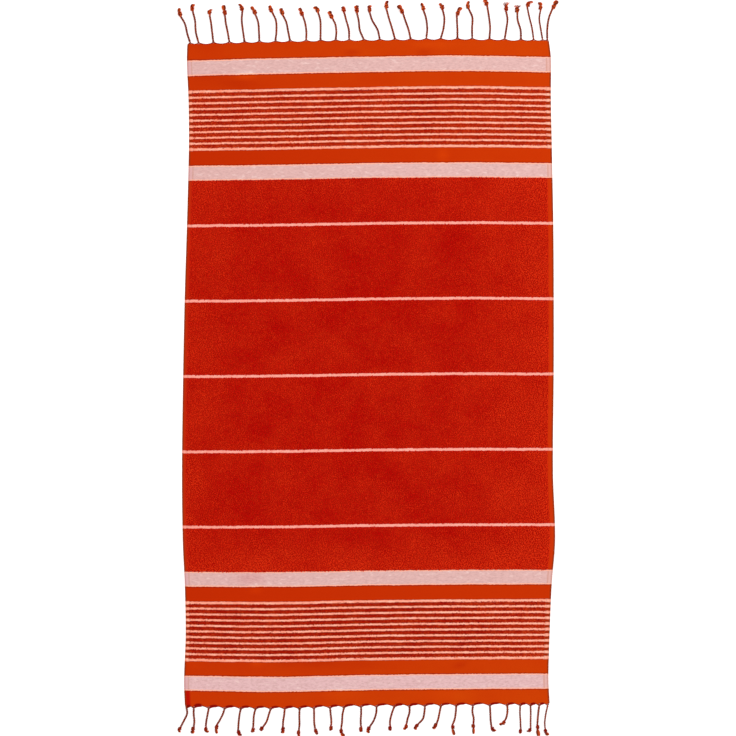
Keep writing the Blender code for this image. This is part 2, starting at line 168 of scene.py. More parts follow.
BOTTOM_STRANDS = table(STRAND, (
    (-444, 7, 4, -460, 53, 8, -3), (-426, 0, 2, -427, 51, 12, -3), (-389, -1, -2, -396, 51, 9, 3),
    (-350, 2, 1, -371, 45, 16, 0), (-311, -2, -2, -317, 57, 9, 5), (-275, -2, -1, -282, 50, 7, -1),
    (-238, 2, 4, -260, 47, 5, -3), (-204, 0, -1, -209, 48, 11, 0), (-168, 0, 1, -170, 57, 10, 0),
    (-133, -1, -2, -129, 54, 9, 4), (-94, 1, 2, -92, 48, 7, -1), (-59, -2, -1, -66, 56, 15, 5),
    (-18, 0, -1, -18, 52, 8, 0), (20, 5, 5, 1, 52, 11, -3), (64, -3, -4, 53, 51, 7, 1),
    (100, 3, 1, 91, 47, 9, -4), (138, 5, 8, 118, 46, 9, -6), (177, 1, 2, 164, 45, 9, -7),
    (214, 2, 2, 205, 49, 20, 3), (255, -2, 1, 256, 47, 20, 1), (296, -1, -2, 302, 55, 6, 7),
    (338, 4, 5, 329, 39, 6, -10), (370, -1, 0, 371, 60, 7, -2, 1.0, 0.88),
    (395, 1, 1, 394, 58, 5, -6, 1.0, 0.86), (417, -1, -1, 412, 51, 22, 3),
    (438, -3, -4, 432, 60, 12, 5, 1.0, 0.82),
), defaults=(1.0, 1.0))

# The two ends. slant is how far the edge rises from the left corner to the right one. scallop is how far
# it is drawn back between two strings, most of all left of the middle where skew is below 1, and lip is
# how far it stands out just left of each string. The cords are the gathered threads that run along it,
# thinned by thinning towards the next string on the right. The tones say how orange (1), brown (0) or red
# (-1) the threads are there, and knot_size is the size of a knot beside the upper end's.
End = namedtuple("End", (
    "name", "node", "v", "slant", "strands", "scallop", "skew", "lip", "cords", "cord_radius", "thinning",
    "cord_tone", "knot_size", "knot_tones", "tuft_tones",
))
UPPER_END = End(
    name="upper_fringe", node="fringe_top", v=WEAVE_TOP, slant=0.0, strands=TOP_STRANDS, scallop=3.0 * MM,
    skew=1.0, lip=0.0, cords=2, cord_radius=0.55 * MM, thinning=0.1, cord_tone=-0.75, knot_size=1.0,
    knot_tones=(0.75, -0.25), tuft_tones=(-0.35, 1.25),
)
LOWER_END = End(
    name="lower_fringe", node="fringe_bottom", v=WEAVE_BOTTOM, slant=2.6 * MM, strands=BOTTOM_STRANDS,
    scallop=2.9 * MM, skew=0.75, lip=2.8 * MM, cords=3, cord_radius=1.05 * MM, thinning=0.65, cord_tone=-1.0,
    knot_size=0.85, knot_tones=(0.15, -0.9), tuft_tones=(-0.3, 1.05),
)
ENDS = (UPPER_END, LOWER_END)
SCALLOP_PITCH = 36 * MM  # usual distance between strings, at which the scallop has its full depth
SCALLOP_REACH = 14 * MM  # how far into the cloth the scallops show
LIP_SHARE = 0.6  # share of the distance between two strings over which the lip rises
CORNER_SLOPE = 0.4  # how far each corner is drawn back, as a share of its distance from the nearest string
CRESCENT = (-0.02, 0.10, 0.42, 0.58)  # shares of the way to the next string: start, full, full and end
FOOT_HALF_WIDTH = 2.4 * MM  # half the width of a string where it leaves the edge
GATHER_REACH = 3.0 * MM  # how far into the cloth the red of the lower edge's gathered threads shows
CORNER_GATHER = (-416 * MM, 17 * MM, 4.5 * MM)  # middle, half width and extra reach of it at the left

# The cloth's map: start and length, across and up, of what the face and the underside take of it
MAP_FACE = (0.01, 0.86)
MAP_UNDERSIDE = (0.89, 0.10)
MAP_UP = (0.01, 0.98)
MAP_SPILL = 0.005  # how far the turned ends may reach past the ends of the face
MAP_HIDDEN = 0.12  # how much length the field's ground, mostly hidden, takes beside the rest
MAP_STATIONS = 2001
AT_SIDE = 0.999  # u, either way, beyond which a place is on a side edge

# The terry's loops. Ranges go from the least to the most, and spreads are standard deviations.
LOOP_ROOT = 0.25 * MM  # how deep a loop starts in the cloth
ARCH_STEPS = 3
ASTRAY_ACROSS = 0.24  # spread of a loop's place, beside the spacing
ASTRAY_ALONG = 0.27
TURN_SPREAD = 0.5
SPAN_RANGE = (0.8, 1.25)
WIDTH_RANGE = (0.8, 1.2)
HEIGHT_RANGE = (0.72, 1.05)
TILT_SPREAD = 0.42  # of how far a loop leans, beside its height
TILT_ALONG = -0.1  # how far they lean on the whole, towards the lower end
RIB_LAP = 0.9  # how far the ribs' loops lie over the pale lines beside them, in millimetres
CELL_MARGIN = 0.1  # empty rim of a loop's cell in the map
TERRY_PIECES = ("terry_left", "terry_left_middle", "terry_right_middle", "terry_right")

# How light and warm the loops are. A fade adds its amount from start to end, along a curve of its power.
Fade = namedtuple("Fade", "amount start end power", defaults=(1,))
PILE_TONE = 0.34
END_FADES = (Fade(0.22, 330, 464, 2), Fade(0.52, -390, -494, 1.3))  # by v, in millimetres
SIDE_FADES = (Fade(0.24, -0.72, -0.98), Fade(0.52, 0.45, 0.95, 1.3))  # by u: painted light, lighter towards both side edges and most at the right
FIELD_CHANCE = 0.22  # how far a loop may differ from that
# Each rib group: its tone, and painted light that makes it lighter towards the right
RIB_TONES = ((UPPER_LINES, 0.31, Fade(0.22, 0.3, 0.9)), (LOWER_LINES, 0.02, Fade(0.32, 0.3, 0.9)))
RIB_SLOPE = 0.45  # painted shade: how much lighter a rib is at its lower side than just below the pale line above it
RIB_CHANCE = 0.45
RIB_FOLD_SHADE = 1.2  # how strongly the painted shade and light of the folds show in the ribs

# The strings
STRING_STEP = 1.2 * MM
PLY_RADIUS = 1.51 * MM  # of each of the two threads of a string
PLY_APART = 1.22 * MM  # from the middle of a string to the middle of each thread
PLY_SIDES = 6
PLY_TONES = (0.26, 0.0)
PLY_TONE_SPREAD = 0.05
TWIST_LENGTH = 8.5 * MM  # over which the threads go once round each other
STRING_HEIGHT = PLY_RADIUS + PLY_APART  # middle of a string above the surface
FOOT_HEIGHT = 0.9 * MM  # the same where it leaves the edge
FOOT_OUT = 0.2 * MM  # how far beyond the edge it starts
FOOT_SHARE = 0.2  # share of the way to its first sway at which it has its full height
FOOT_REACH = 3.0 * MM  # how soon its threads, side by side at the edge, twist round each other
FOOT_SPREAD = 0.7  # how much further apart they start
FOOT_SPREAD_REACH = 4.0 * MM
FOOT_THINNING = 0.3  # how much thinner they start

# The knots. A knot's line is given by three formulas of t, which runs from -KNOT_REACH to KNOT_REACH.
KNOT_REACH = 1.95
KNOT_POINTS = 22
KNOT_SIZE = (1.6 * MM, 1.65 * MM, 1.1 * MM)  # along the string, across it and upwards
KNOT_RANGE = (0.92, 1.1)  # least and greatest size beside the usual one
KNOT_HEIGHT = 5.0 * MM
KNOT_MIDDLE = 2.7 * MM  # middle of a knot beyond the place that the tables give
BEFORE_KNOT = 5.6 * MM  # last point before the knot's middle, and first one past it
PAST_KNOT = 4.6 * MM
PAST_KNOT_RISE = 0.6 * MM
KNOT_TONE_SPREAD = 0.12
KNOT_COLOUR_REACH = 6.0 * MM  # over which the string takes the knot's colour

# The cut ends beyond a knot. Pairs are the least and the most.
TUFT_THREADS = 18
TUFT_STEP = 1.6 * MM
TUFT_RADIUS = 0.85 * MM
TUFT_SIDES = 4
TUFT_START = 4.2 * MM  # from the knot's middle
TUFT_SPREAD = (2.8 * MM, 5.0 * MM)  # half the width at the cut
TUFT_SPLAY = 0.5 * MM
TUFT_BUNCHES = 1.6  # steps in half the width of an open tuft, where its ends lie together
TUFT_BELLY = 0.6  # how far it bulges at half its length, beside its spread
TUFT_UNEVEN = 0.8 * MM  # how far the cut may lie back in the middle, and how much more at the sides
TUFT_ROUNDING = 2.4 * MM
TUFT_CUT = (0.4, 1.0)  # share of that for each end
TUFT_ROOT = 0.9 * MM  # half the width at the knot
TUFT_ROOT_HEIGHTS = (1.8 * MM, 5.2 * MM)
TUFT_HEIGHTS = (0.9 * MM, 5.2 * MM)  # at the cut
TUFT_ARCH = 1.9 * MM  # halfway along, above half the height at the cut
TUFT_TONE_SPREAD = 0.25

# The threads gathered along the edge
CORD_STEP = 2.2 * MM
CORD_SIDES = 5
CORD_INSET = 1.2 * MM  # from each corner
CORD_RANGE = (0.85, 1.15)
CORD_OUT = 0.3 * MM  # beyond the edge
CORD_PITCH = 1.5  # from one to the next, beside their radius
CORD_REACH = 2.6 * MM  # how near a string they are drawn out into it
CORD_DRAWN = 1.2 * MM  # how far
CORD_DRAWN_EACH = 0.9 * MM  # how much further each one beyond the first
CORD_LIFT = 0.5 * MM  # how far they rise there
CORD_LEVELS = [1.25 + 0.75 * math.sin(2.1 * k + 1) for k in range(3)]  # middle of each, beside its radius
CORD_CHANCE = 0.25  # how far one's tone may differ
THIN_TONE = 1.1  # how much lighter they get where they are thin

# All threads
CAP_SHARE = 0.3  # how far a thread's closed end stands out, beside its step
DENSE_POINTS = 600  # at which a smooth line is measured
FEWEST_STEPS = 3
LEAST_SIDE = 0.05  # length below which a line is too upright for its first side direction
SEAM = 1e-7  # distance at which the two edges of a rolled grid are joined

# Where the cloth's colours change: millimetres along the towel or in from its side, each from start to end
TONE_MIDDLE = -12.0  # the orange changes from here towards both ends
TONE_FADE = (600.0, 785.0)
LOW_BAND = -550.0  # darker orange beside the lower ribs
LOW_BAND_FADE = (26.0, 20.0)
LOW_PALE_FADE = (-690.0, -745.0)
SELVEDGE_FADE = (12.2, 10.2)  # from the ground of the terry and ribs to the flat side strips
SELVEDGE_SHIFT = 1.8  # how much further in that is at the right side, and less far at the left
STITCH_LINE = 11.0  # stitches down each side of the pale stripes
STITCH_FADE = (2.4, 1.0)
CORNER_FADES = ((-785.0, -789.0), (-0.964, -0.974))  # along, and across in u
EDGE_SHADE_FADE = (5.2, 2.8)  # into the painted shade at the very edge, where the cloth rolls down
THREAD_SPACINGS = (1.0, 0.95)  # of warp and weft
WANDER_SCALE = 300.0
WANDER = 3.3  # how far the stripes' edges wander
WIDENING = 0.7  # how much wider half a fine line is in the selvedge
EDGE_RIM = 1.3  # width of the orange threads along a fine line
BAND_RIM = 2.6  # width of the bright edges of a pale band

# Unevenness of the cotton: scale of the patches, scale of the flecks, and how drawn out the flecks are
CLOTH_MOTTLE = (11.0, 420.0, 0.34)
COARSE_MOTTLE = (48.0, 150.0, 0.45)
TERRY_MOTTLE = (12.0, 95.0, 0.8)
YARN_MOTTLE = (60.0, 700.0, 1.0)
FUZZ_SCALE = 400.0

# Lights, in metres and watts, and the floor
Lamp = namedtuple("Lamp", "name x y z size power")
LAMPS = (Lamp("broad_lamp", 2.1, 1.6, 3.4, 2.6, 60.0), Lamp("fill_lamp", -2.6, -0.6, 3.2, 3.0, 22.0))
WORLD_LIGHT = 0.85
FLOOR_REACH = 12.0
FLOOR_GAP = 0.3 * MM

# The places of points and loops are drawn with these seeds, so that every run gives the same towel
TERRY_SEED = 11
FRINGE_SEED = 23


def smooth_through(places, values, place):
    """Values at the places asked for, on a smooth curve through those given at rising places.

    values holds a number for each given place, or a row of numbers with a column for each place asked for.
    """
    places, values, place = (np.asarray(numbers, float) for numbers in (places, values, place))
    down = (-1,) + (1,) * (values.ndim - 1)
    rises = np.diff(values, axis=0) / np.diff(places).reshape(down)
    middle = (values[2:] - values[:-2]) / (places[2:] - places[:-2]).reshape(down)
    slopes = np.concatenate([rises[:1], middle, rises[-1:]])
    k = np.clip(np.searchsorted(places, place, side="right") - 1, 0, len(places) - 2)
    span = places[k + 1] - places[k]
    t = np.clip((place - places[k]) / span, 0.0, 1.0)
    column = () if values.ndim == 1 else (np.arange(len(k)),)
    here, after = (k,) + column, (k + 1,) + column
    rise = values[after] - values[here]
    first, last = slopes[here] * span, slopes[after] * span
    return values[here] + t * (first + t * (3 * rise - 2 * first - last + t * (first + last - 2 * rise)))


def along(stations, column, v):
    """A table's column at v, in metres, between the stations that run down the towel."""
    places = [-station.v * MM for station in stations]
    values = [getattr(station, column) * MM for station in stations]
    return smooth_through(places, values, -np.asarray(v, float))


def side_x(v, u):
    """Place across, in metres, of the point u at v."""
    left, right = along(SIDES, "left", v), along(SIDES, "right", v)
    return left + (right - left) * (u + 1) / 2


def place_u(v, x):
    """The weave coordinate u of the place x at v."""
    left, right = side_x(v, -1), side_x(v, 1)
    return 2 * (x - left) / (right - left) - 1


def lean(v, u):
    """How far the weft thread at v runs above or below its middle, at u."""
    v = np.broadcast_to(v, np.shape(u))
    columns = np.stack([along(LEANS, column, v) for column in LEANS[0]._fields[1:]])
    return smooth_through(ACROSS, columns, u)


def waver(v, u):
    """Small unevenness in the run of the weft threads."""
    slow = np.sin(17 * u + 9 * v) * np.sin(47 * v + 5 * u + 1)
    return 0.3 * MM * slow + 0.12 * MM * np.sin(57 * u - 40 * v)


def mounds_at(mounds, x, y):
    """Sum of the mounds' heights at x and y, which are in metres."""
    total = np.zeros(np.shape(x))
    for mound in mounds:
        turn = math.radians(mound.turn)
        dx, dy = x / MM - mound.x, y / MM - mound.y
        length_share = (dx * math.cos(turn) + dy * math.sin(turn)) / mound.half_length
        width_share = (dy * math.cos(turn) - dx * math.sin(turn)) / mound.half_width
        share = np.minimum(np.hypot(length_share, width_share), 1.0)
        total += mound.height * np.cos(share * math.pi / 2) ** 2
    return total


def lift(x, y):
    """How far the cloth's underside stands off the surface."""
    return mounds_at(RIDGES, x, y) * MM


def drawn_back(end, x):
    """How far an end of the cloth is drawn back, at x, between the strings that gather its threads."""
    roots = [strand.root * MM for strand in end.strands]
    back = np.zeros(np.shape(x))
    for left, right in zip(roots, roots[1:]):
        start, stop = left + FOOT_HALF_WIDTH, right - FOOT_HALF_WIDTH
        share = np.clip((x - start) / (stop - start), 0, 1)
        depth = end.scallop * min((stop - start) / SCALLOP_PITCH, 1.0)
        back += depth * np.sin(share**end.skew * math.pi)
        lip_start = stop - LIP_SHARE * (stop - start)
        back -= end.lip * np.interp(x, (lip_start, stop, right + FOOT_HALF_WIDTH), (0, 1, 0))
    for side, foot in ((-1, roots[0] - FOOT_HALF_WIDTH), (1, roots[-1] + FOOT_HALF_WIDTH)):
        corner = float(side_x(end.v, side))
        share = np.clip((x - foot) / (corner - foot), 0, 1)
        back += CORNER_SLOPE * abs(corner - foot) * share**2
    return back


def end_rise(end, x):
    """How far the slant of an end lifts its edge at x."""
    return end.slant * (place_u(end.v, x) + 1) / 2


def end_y(end, x):
    """Place along the towel of the edge of one of its ends, at x."""
    level = end.v + lean(end.v, place_u(end.v, x)) + end_rise(end, x)
    return level - np.sign(end.v) * drawn_back(end, x)


def crescent(end, x):
    """How thick the gathered threads are at x: up to 1 just right of a string, and 0 near the next one."""
    roots = np.array([strand.root * MM for strand in end.strands])
    k = np.clip(np.searchsorted(roots, x, side="right") - 1, 0, len(roots) - 2)
    share = np.clip((x - roots[k]) / (roots[k + 1] - roots[k]), 0, 1)
    return np.interp(share, CRESCENT, (0, 1, 1, 0))


def cloth_place(u, v):
    """Place, in the plane of the surface, of the point of the cloth at u and v, both arrays."""
    x = side_x(v, u)
    y = v + lean(v, u) + waver(v, u)
    for end in ENDS:
        near = np.clip(1 - abs(v - end.v) / SCALLOP_REACH, 0, 1) ** 2
        y = y + near * (end_y(end, x) - end.v - lean(end.v, u) - waver(v, u))
    return x, y


def weave_of(u, v):
    """What cloth and loops carry for their materials: u, v and the distance to the nearer side edge."""
    edge_distance = (1 - abs(u)) * (side_x(v, 1) - side_x(v, -1)) / 2
    return np.stack([u, v, edge_distance], axis=1)


# ---- meshes ----


def mesh_of(bm, name):
    """Mesh with the bmesh's shape, which is then freed."""
    mesh = bpy.data.meshes.new(name)
    bm.to_mesh(mesh)
    bm.free()
    return mesh


def grid_mesh(sizes, name):
    """Mesh of flat grids in each other's place, two units wide and high, for sizes given in faces."""
    bm = bmesh.new()
    for across, up in sizes:
        bmesh.ops.create_grid(bm, x_segments=across, y_segments=up, size=1.0)
    return mesh_of(bm, name)


def grid_numbers(places, across, up):
    """The column and the row of a grid that each of its vertices is in."""
    shares = (places[:, :2] + 1) / 2
    return np.rint(shares * (across, up)).astype(int).T


def read(items, field, width=1, kind=np.float32):
    """A field of all of a mesh's vertices, corners or faces, a number or a row of them for each."""
    values = np.empty(len(items) * width, kind)
    items.foreach_get(field, values)
    return values.reshape(-1, width) if width > 1 else values


def vertex_places(mesh):
    """The mesh's vertex places, one row each."""
    return read(mesh.vertices, "co", 3).astype(float)


def corner_vertices(mesh):
    """The number of the vertex at each corner of each face."""
    return read(mesh.loops, "vertex_index", kind=np.int32)


def move_vertices(mesh, places):
    mesh.vertices.foreach_set("co", np.asarray(places, np.float32).ravel())
    mesh.update()


def add_attribute(mesh, name, values):
    """Give every vertex a number, or a row of three numbers, that materials read by name."""
    values = np.asarray(values, np.float32)
    kind, field = ("FLOAT", "value") if values.ndim == 1 else ("FLOAT_VECTOR", "vector")
    mesh.attributes.new(name, kind, "POINT").data.foreach_set(field, values.ravel())


def add_map(mesh, name, places):
    """Give the mesh a UV map from one place for each corner of each face."""
    layer = mesh.uv_layers.new(name=name, do_init=False)
    layer.uv.foreach_set("vector", np.asarray(places, np.float32).ravel())


def shown_object(name, mesh, material):
    """Object that holds the mesh with its material, and rides with the towel."""
    mesh.materials.append(material)
    obj = bpy.data.objects.new(name, mesh)
    bpy.context.scene.collection.objects.link(obj)
    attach(obj, "root")
    return obj


# ---- the woven cloth ----


def mesh_lines(start, stop, near, spacing):
    """Places of a mesh's lines from start to stop: close together near both, then evenly spaced."""
    count = round((stop - start - 2 * near[-1]) / spacing)
    inner = np.linspace(start + near[-1], stop - near[-1], count + 1)
    return np.concatenate([start + near[:-1], inner, stop - near[-2::-1]])


def middles(lines):
    """The middle of each stripe of a group, from the uppermost down, in millimetres."""
    return [lines.first - k * lines.pitch for k in range(lines.count)]


def map_share(v):
    """Place of v on the cloth's map, from 0 to 1."""
    stations = np.linspace(WEAVE_BOTTOM, WEAVE_TOP, MAP_STATIONS)
    hidden = abs(stations / MM - TERRY_FIELD.first) < TERRY_FIELD.half_width
    for middle in middles(TERRY_LINES):
        hidden &= abs(stations / MM - middle) > 3 * TERRY_LINES.half_width
    total = np.cumsum(np.where(hidden, MAP_HIDDEN, 1.0))
    return np.interp(v, stations, (total - total[0]) / (total[-1] - total[0]))


def map_cloth(mesh, thickness):
    """Lay out the cloth's map: its face over most of the width, its underside over a strip beside it."""
    corners = corner_vertices(mesh)
    u, v, _ = read(mesh.attributes["weave"].data, "vector", 3).astype(float)[corners].T
    x, y, z = vertex_places(mesh)[corners].T
    upright = read(mesh.polygons, "normal", 3)[:, 2]
    down = np.repeat(upright < -FLAT_NORMAL, read(mesh.polygons, "loop_total", kind=np.int32))
    below = np.where(down, 0, np.clip(lift(x, y) + thickness - z, 0, thickness))
    outward_u = np.where(abs(u) > AT_SIDE, np.sign(u), 0) * below / CLOTH_FLAT[0]
    outward_v = np.where(abs(outward_u) > 0, 0, np.sign(v)) * below / CLOTH_FLAT[1]
    across = (u + 1) / 2 + outward_u
    up = np.clip(map_share(v) + outward_v, -MAP_SPILL, 1 + MAP_SPILL)
    starts, widths = (np.where(down, *pair) for pair in zip(MAP_UNDERSIDE, MAP_FACE))
    add_map(mesh, "OFBake", np.stack([starts + widths * across, MAP_UP[0] + MAP_UP[1] * up], axis=1))


def make_cloth_mesh(sizes):
    """A grid laid out in the weave, given its thickness, with its edges rounded."""
    half = CLOTH_FLAT[0] / 2
    columns = mesh_lines(-1, 1, np.array(SELVEDGE_LINES) * MM / half, sizes.cloth_spacing / half)
    rows = mesh_lines(WEAVE_BOTTOM, WEAVE_TOP, np.array(END_LINES) * MM, sizes.cloth_row_spacing)
    faces = (len(columns) - 1, len(rows) - 1)
    mesh = grid_mesh([faces], "woven_cloth")
    column, row = grid_numbers(vertex_places(mesh), *faces)
    u, v = columns[column], rows[row]
    x, y = cloth_place(u, v)
    move_vertices(mesh, np.stack([x, y, lift(x, y)], axis=1))
    add_attribute(mesh, "weave", weave_of(u, v))
    # painted shade and light of the folds, which the cloth's material multiplies into its colour
    add_attribute(mesh, "shade", mounds_at(FOLD_SHADE, x, y))
    middle, half_width, extra = CORNER_GATHER
    reach = GATHER_REACH + extra * (abs(x - middle) < half_width)
    at_edge = np.clip((reach - (v - LOWER_END.v)) / reach, 0, 1)
    add_attribute(mesh, "gathered", at_edge * crescent(LOWER_END, x))
    bm = bmesh.new()
    bm.from_mesh(mesh)
    raised = bmesh.ops.extrude_face_region(bm, geom=bm.faces[:], use_keep_orig=True)
    for vert in raised["geom"]:
        if isinstance(vert, bmesh.types.BMVert):
            vert.co.z += sizes.cloth_thickness
    bmesh.ops.recalc_face_normals(bm, faces=bm.faces[:])
    rims = []
    for edge in bm.edges:
        upright = sorted(abs(face.normal.z) for face in edge.link_faces)
        if len(upright) == 2 and upright[0] < FLAT_NORMAL < upright[1]:
            rims.append(edge)
    bmesh.ops.bevel(
        bm, geom=rims, offset=EDGE_BEVEL * sizes.cloth_thickness, offset_type="OFFSET", segments=1,
        profile=0.5, affect="EDGES", material=-1, clamp_overlap=True,
    )
    bm.to_mesh(mesh)
    bm.free()
    map_cloth(mesh, sizes.cloth_thickness)
    mesh.shade_smooth()
    mesh.set_sharp_from_angle(angle=SHARP_EDGE)
    return mesh


# ---- the terry ----


def loop_rows(spacing):
    """v of every row of loops: in the ribs between the fine lines, and in the field between its lines."""
    zones = []
    for lines in (UPPER_LINES, LOWER_LINES):
        bare = lines.half_width - RIB_LAP
        zones += [(upper - bare, lower + bare) for upper, lower in zip(middles(lines), middles(lines)[1:])]
    top = TERRY_FIELD.first + TERRY_FIELD.half_width
    for middle in middles(TERRY_LINES):
        zones.append((top, middle + TERRY_LINES.half_width))
        top = middle - TERRY_LINES.half_width
    zones.append((top, TERRY_FIELD.first - TERRY_FIELD.half_width))
    rows = []
    for top, bottom in sorted(zones, reverse=True):
        count = max(round((top - bottom) * MM / spacing), 1)
        rows += [(top - (top - bottom) * (k + 0.5) / count) * MM for k in range(count)]
    return np.array(rows)


def one_loop():
    """A flat thread bent over in an arch, one unit wide, long and high."""
    bm = bmesh.new()
    ends = [bm.verts.new((-0.5, side, 0.0)) for side in (-0.5, 0.5)]
    edge = bm.edges.new(ends)
    bmesh.ops.spin(
        bm, geom=ends + [edge], cent=(0, 0, 0), axis=(0, 1, 0), dvec=(0, 0, 0), angle=math.pi,
        steps=ARCH_STEPS, use_merge=False, use_duplicate=False,
    )
    bmesh.ops.scale(bm, vec=(1, 1, 2), verts=bm.verts[:])
    bmesh.ops.reverse_faces(bm, faces=bm.faces[:])
    return mesh_of(bm, "one_loop")


def repeated(mesh, count, name):
    """A mesh with that many copies of the given one, all in its place."""
    obj = bpy.data.objects.new(name, mesh)
    bpy.context.scene.collection.objects.link(obj)
    array = obj.modifiers.new("copies", "ARRAY")
    array.use_relative_offset = False
    array.use_constant_offset = True
    array.constant_offset_displace = (0, 0, 0)
    array.count = count
    result = bpy.data.meshes.new_from_object(obj.evaluated_get(bpy.context.evaluated_depsgraph_get()))
    result.name = name
    bpy.data.objects.remove(obj)
    return result


def faded(place, *fades):
    """What the fades add at the place: nothing before their start, and the whole amount past their end."""
    total = 0
    for fade in fades:
        share = np.clip((place - fade.start) / (fade.end - fade.start), 0, 1)
        total = total + fade.amount * share**fade.power
    return total


def pile_shade(u, v, x, y, draw):
    """How light and warm each loop is, from 0 to 1: by its place, its patch of painted shade or light and
    its own chance.
    """
    up = v / MM
    share = PILE_TONE + faded(up, *END_FADES) + faded(u, *SIDE_FADES) + mounds_at(PILE_SHADE_PATCHES, x, y)
    share = share + draw.uniform(-FIELD_CHANCE, FIELD_CHANCE, len(u))
    for lines, tone, fade in RIB_TONES:
        down = (lines.first - up) / lines.pitch
        inside = (down > 0) & (down < lines.count - 1)
        chance = draw.uniform(-RIB_CHANCE, RIB_CHANCE, len(u))
        rib = tone + faded(u, fade) + RIB_SLOPE * (down % 1) + chance + RIB_FOLD_SHADE * mounds_at(FOLD_SHADE, x, y)
        share = np.where(inside, rib, share)
    return np.clip(share, 0, 1)


def make_terry_strip(name, columns, rows, sizes, draw):
    """A lengthwise strip of the terry: a loop at every place of the columns and rows, a little astray."""
    count = len(columns) * len(rows)
    loop = one_loop()
    shape = vertex_places(loop)
    mesh = repeated(loop, count, name)
    spacing = sizes.loop_spacing
    u = np.tile(columns, len(rows)) + draw.normal(0, ASTRAY_ACROSS, count) * spacing / (CLOTH_FLAT[0] / 2)
    v = np.repeat(rows, len(columns)) + draw.normal(0, ASTRAY_ALONG, count).clip(-0.5, 0.5) * spacing
    x, y = cloth_place(u, v)
    in_ribs = abs(v / MM - TERRY_FIELD.first) > TERRY_FIELD.half_width
    share = np.where(in_ribs, sizes.rib_share, 1.0)[:, None]
    each = (count, 1)
    turn = math.pi / 2 + draw.normal(0, TURN_SPREAD, each)
    ahead = shape[:, 0] * (sizes.loop_span * draw.uniform(*SPAN_RANGE, each))
    aside = shape[:, 1] * (sizes.loop_width * draw.uniform(*WIDTH_RANGE, each))
    above = shape[:, 2] * (sizes.loop_height * draw.uniform(*HEIGHT_RANGE, each) * share)
    tilt_x = draw.normal(0, TILT_SPREAD, each)
    tilt_y = draw.normal(TILT_ALONG, TILT_SPREAD, each)
    cos, sin = np.cos(turn), np.sin(turn)
    places = np.stack([
        x[:, None] + ahead * cos - aside * sin + tilt_x * above,
        y[:, None] + ahead * sin + aside * cos + tilt_y * above,
        (lift(x, y) + sizes.cloth_thickness)[:, None] + above - LOOP_ROOT,
    ], axis=2)
    move_vertices(mesh, places.reshape(-1, 3))
    add_attribute(mesh, "weave", np.repeat(weave_of(u, v), len(shape), axis=0))
    add_attribute(mesh, "tone", np.repeat(pile_shade(u, v, x, y, draw), len(shape)))
    add_attribute(mesh, "rise", np.tile(shape[:, 2], count))
    cells = math.ceil(math.sqrt(count))
    down, across = np.divmod(np.arange(count)[:, None], cells)
    inner = 1 - 2 * CELL_MARGIN
    turned = np.arctan2(shape[:, 2], -shape[:, 0]) / math.pi
    across = across + CELL_MARGIN + inner * turned
    down = down + CELL_MARGIN + inner * (shape[:, 1] + 0.5)
    places = np.stack([across, down], axis=2).reshape(-1, 2) / cells
    add_map(mesh, "OFBake", places[corner_vertices(mesh)])
    mesh.shade_smooth()
    return mesh


# ---- the fringes ----


def gone_along(line):
    """How far along a line each of its points is."""
    return np.concatenate([[0], np.cumsum(np.linalg.norm(np.diff(line, axis=0), axis=1))])


def through_points(points, spacing):
    """A smooth line through the points, cut into equal steps of about the spacing."""
    points = np.asarray(points, float)
    far = gone_along(points)
    dense = np.linspace(0, far[-1], DENSE_POINTS)
    line = np.stack([smooth_through(far, places, dense) for places in points.T], axis=1)
    gone = gone_along(line)
    even = np.linspace(0, gone[-1], max(round(gone[-1] / spacing), FEWEST_STEPS) + 1)
    return np.stack([np.interp(even, gone, places) for places in line.T], axis=1)


def unit(vectors):
    return vectors / np.maximum(np.linalg.norm(vectors, axis=-1, keepdims=True), 1e-12)


def frames(line):
    """Two directions square to the line at each of its points, turning no more than the line does."""
    headings = unit(np.gradient(line, axis=0))
    first = np.cross(headings[0], (0.0, 0.0, 1.0))
    sides = [unit(first if np.linalg.norm(first) > LEAST_SIDE else np.array((1.0, 0.0, 0.0)))]
    for heading in headings[1:]:
        sides.append(unit(sides[-1] - heading * sides[-1].dot(heading)))
    sides = np.array(sides)
    return sides, np.cross(headings, sides)


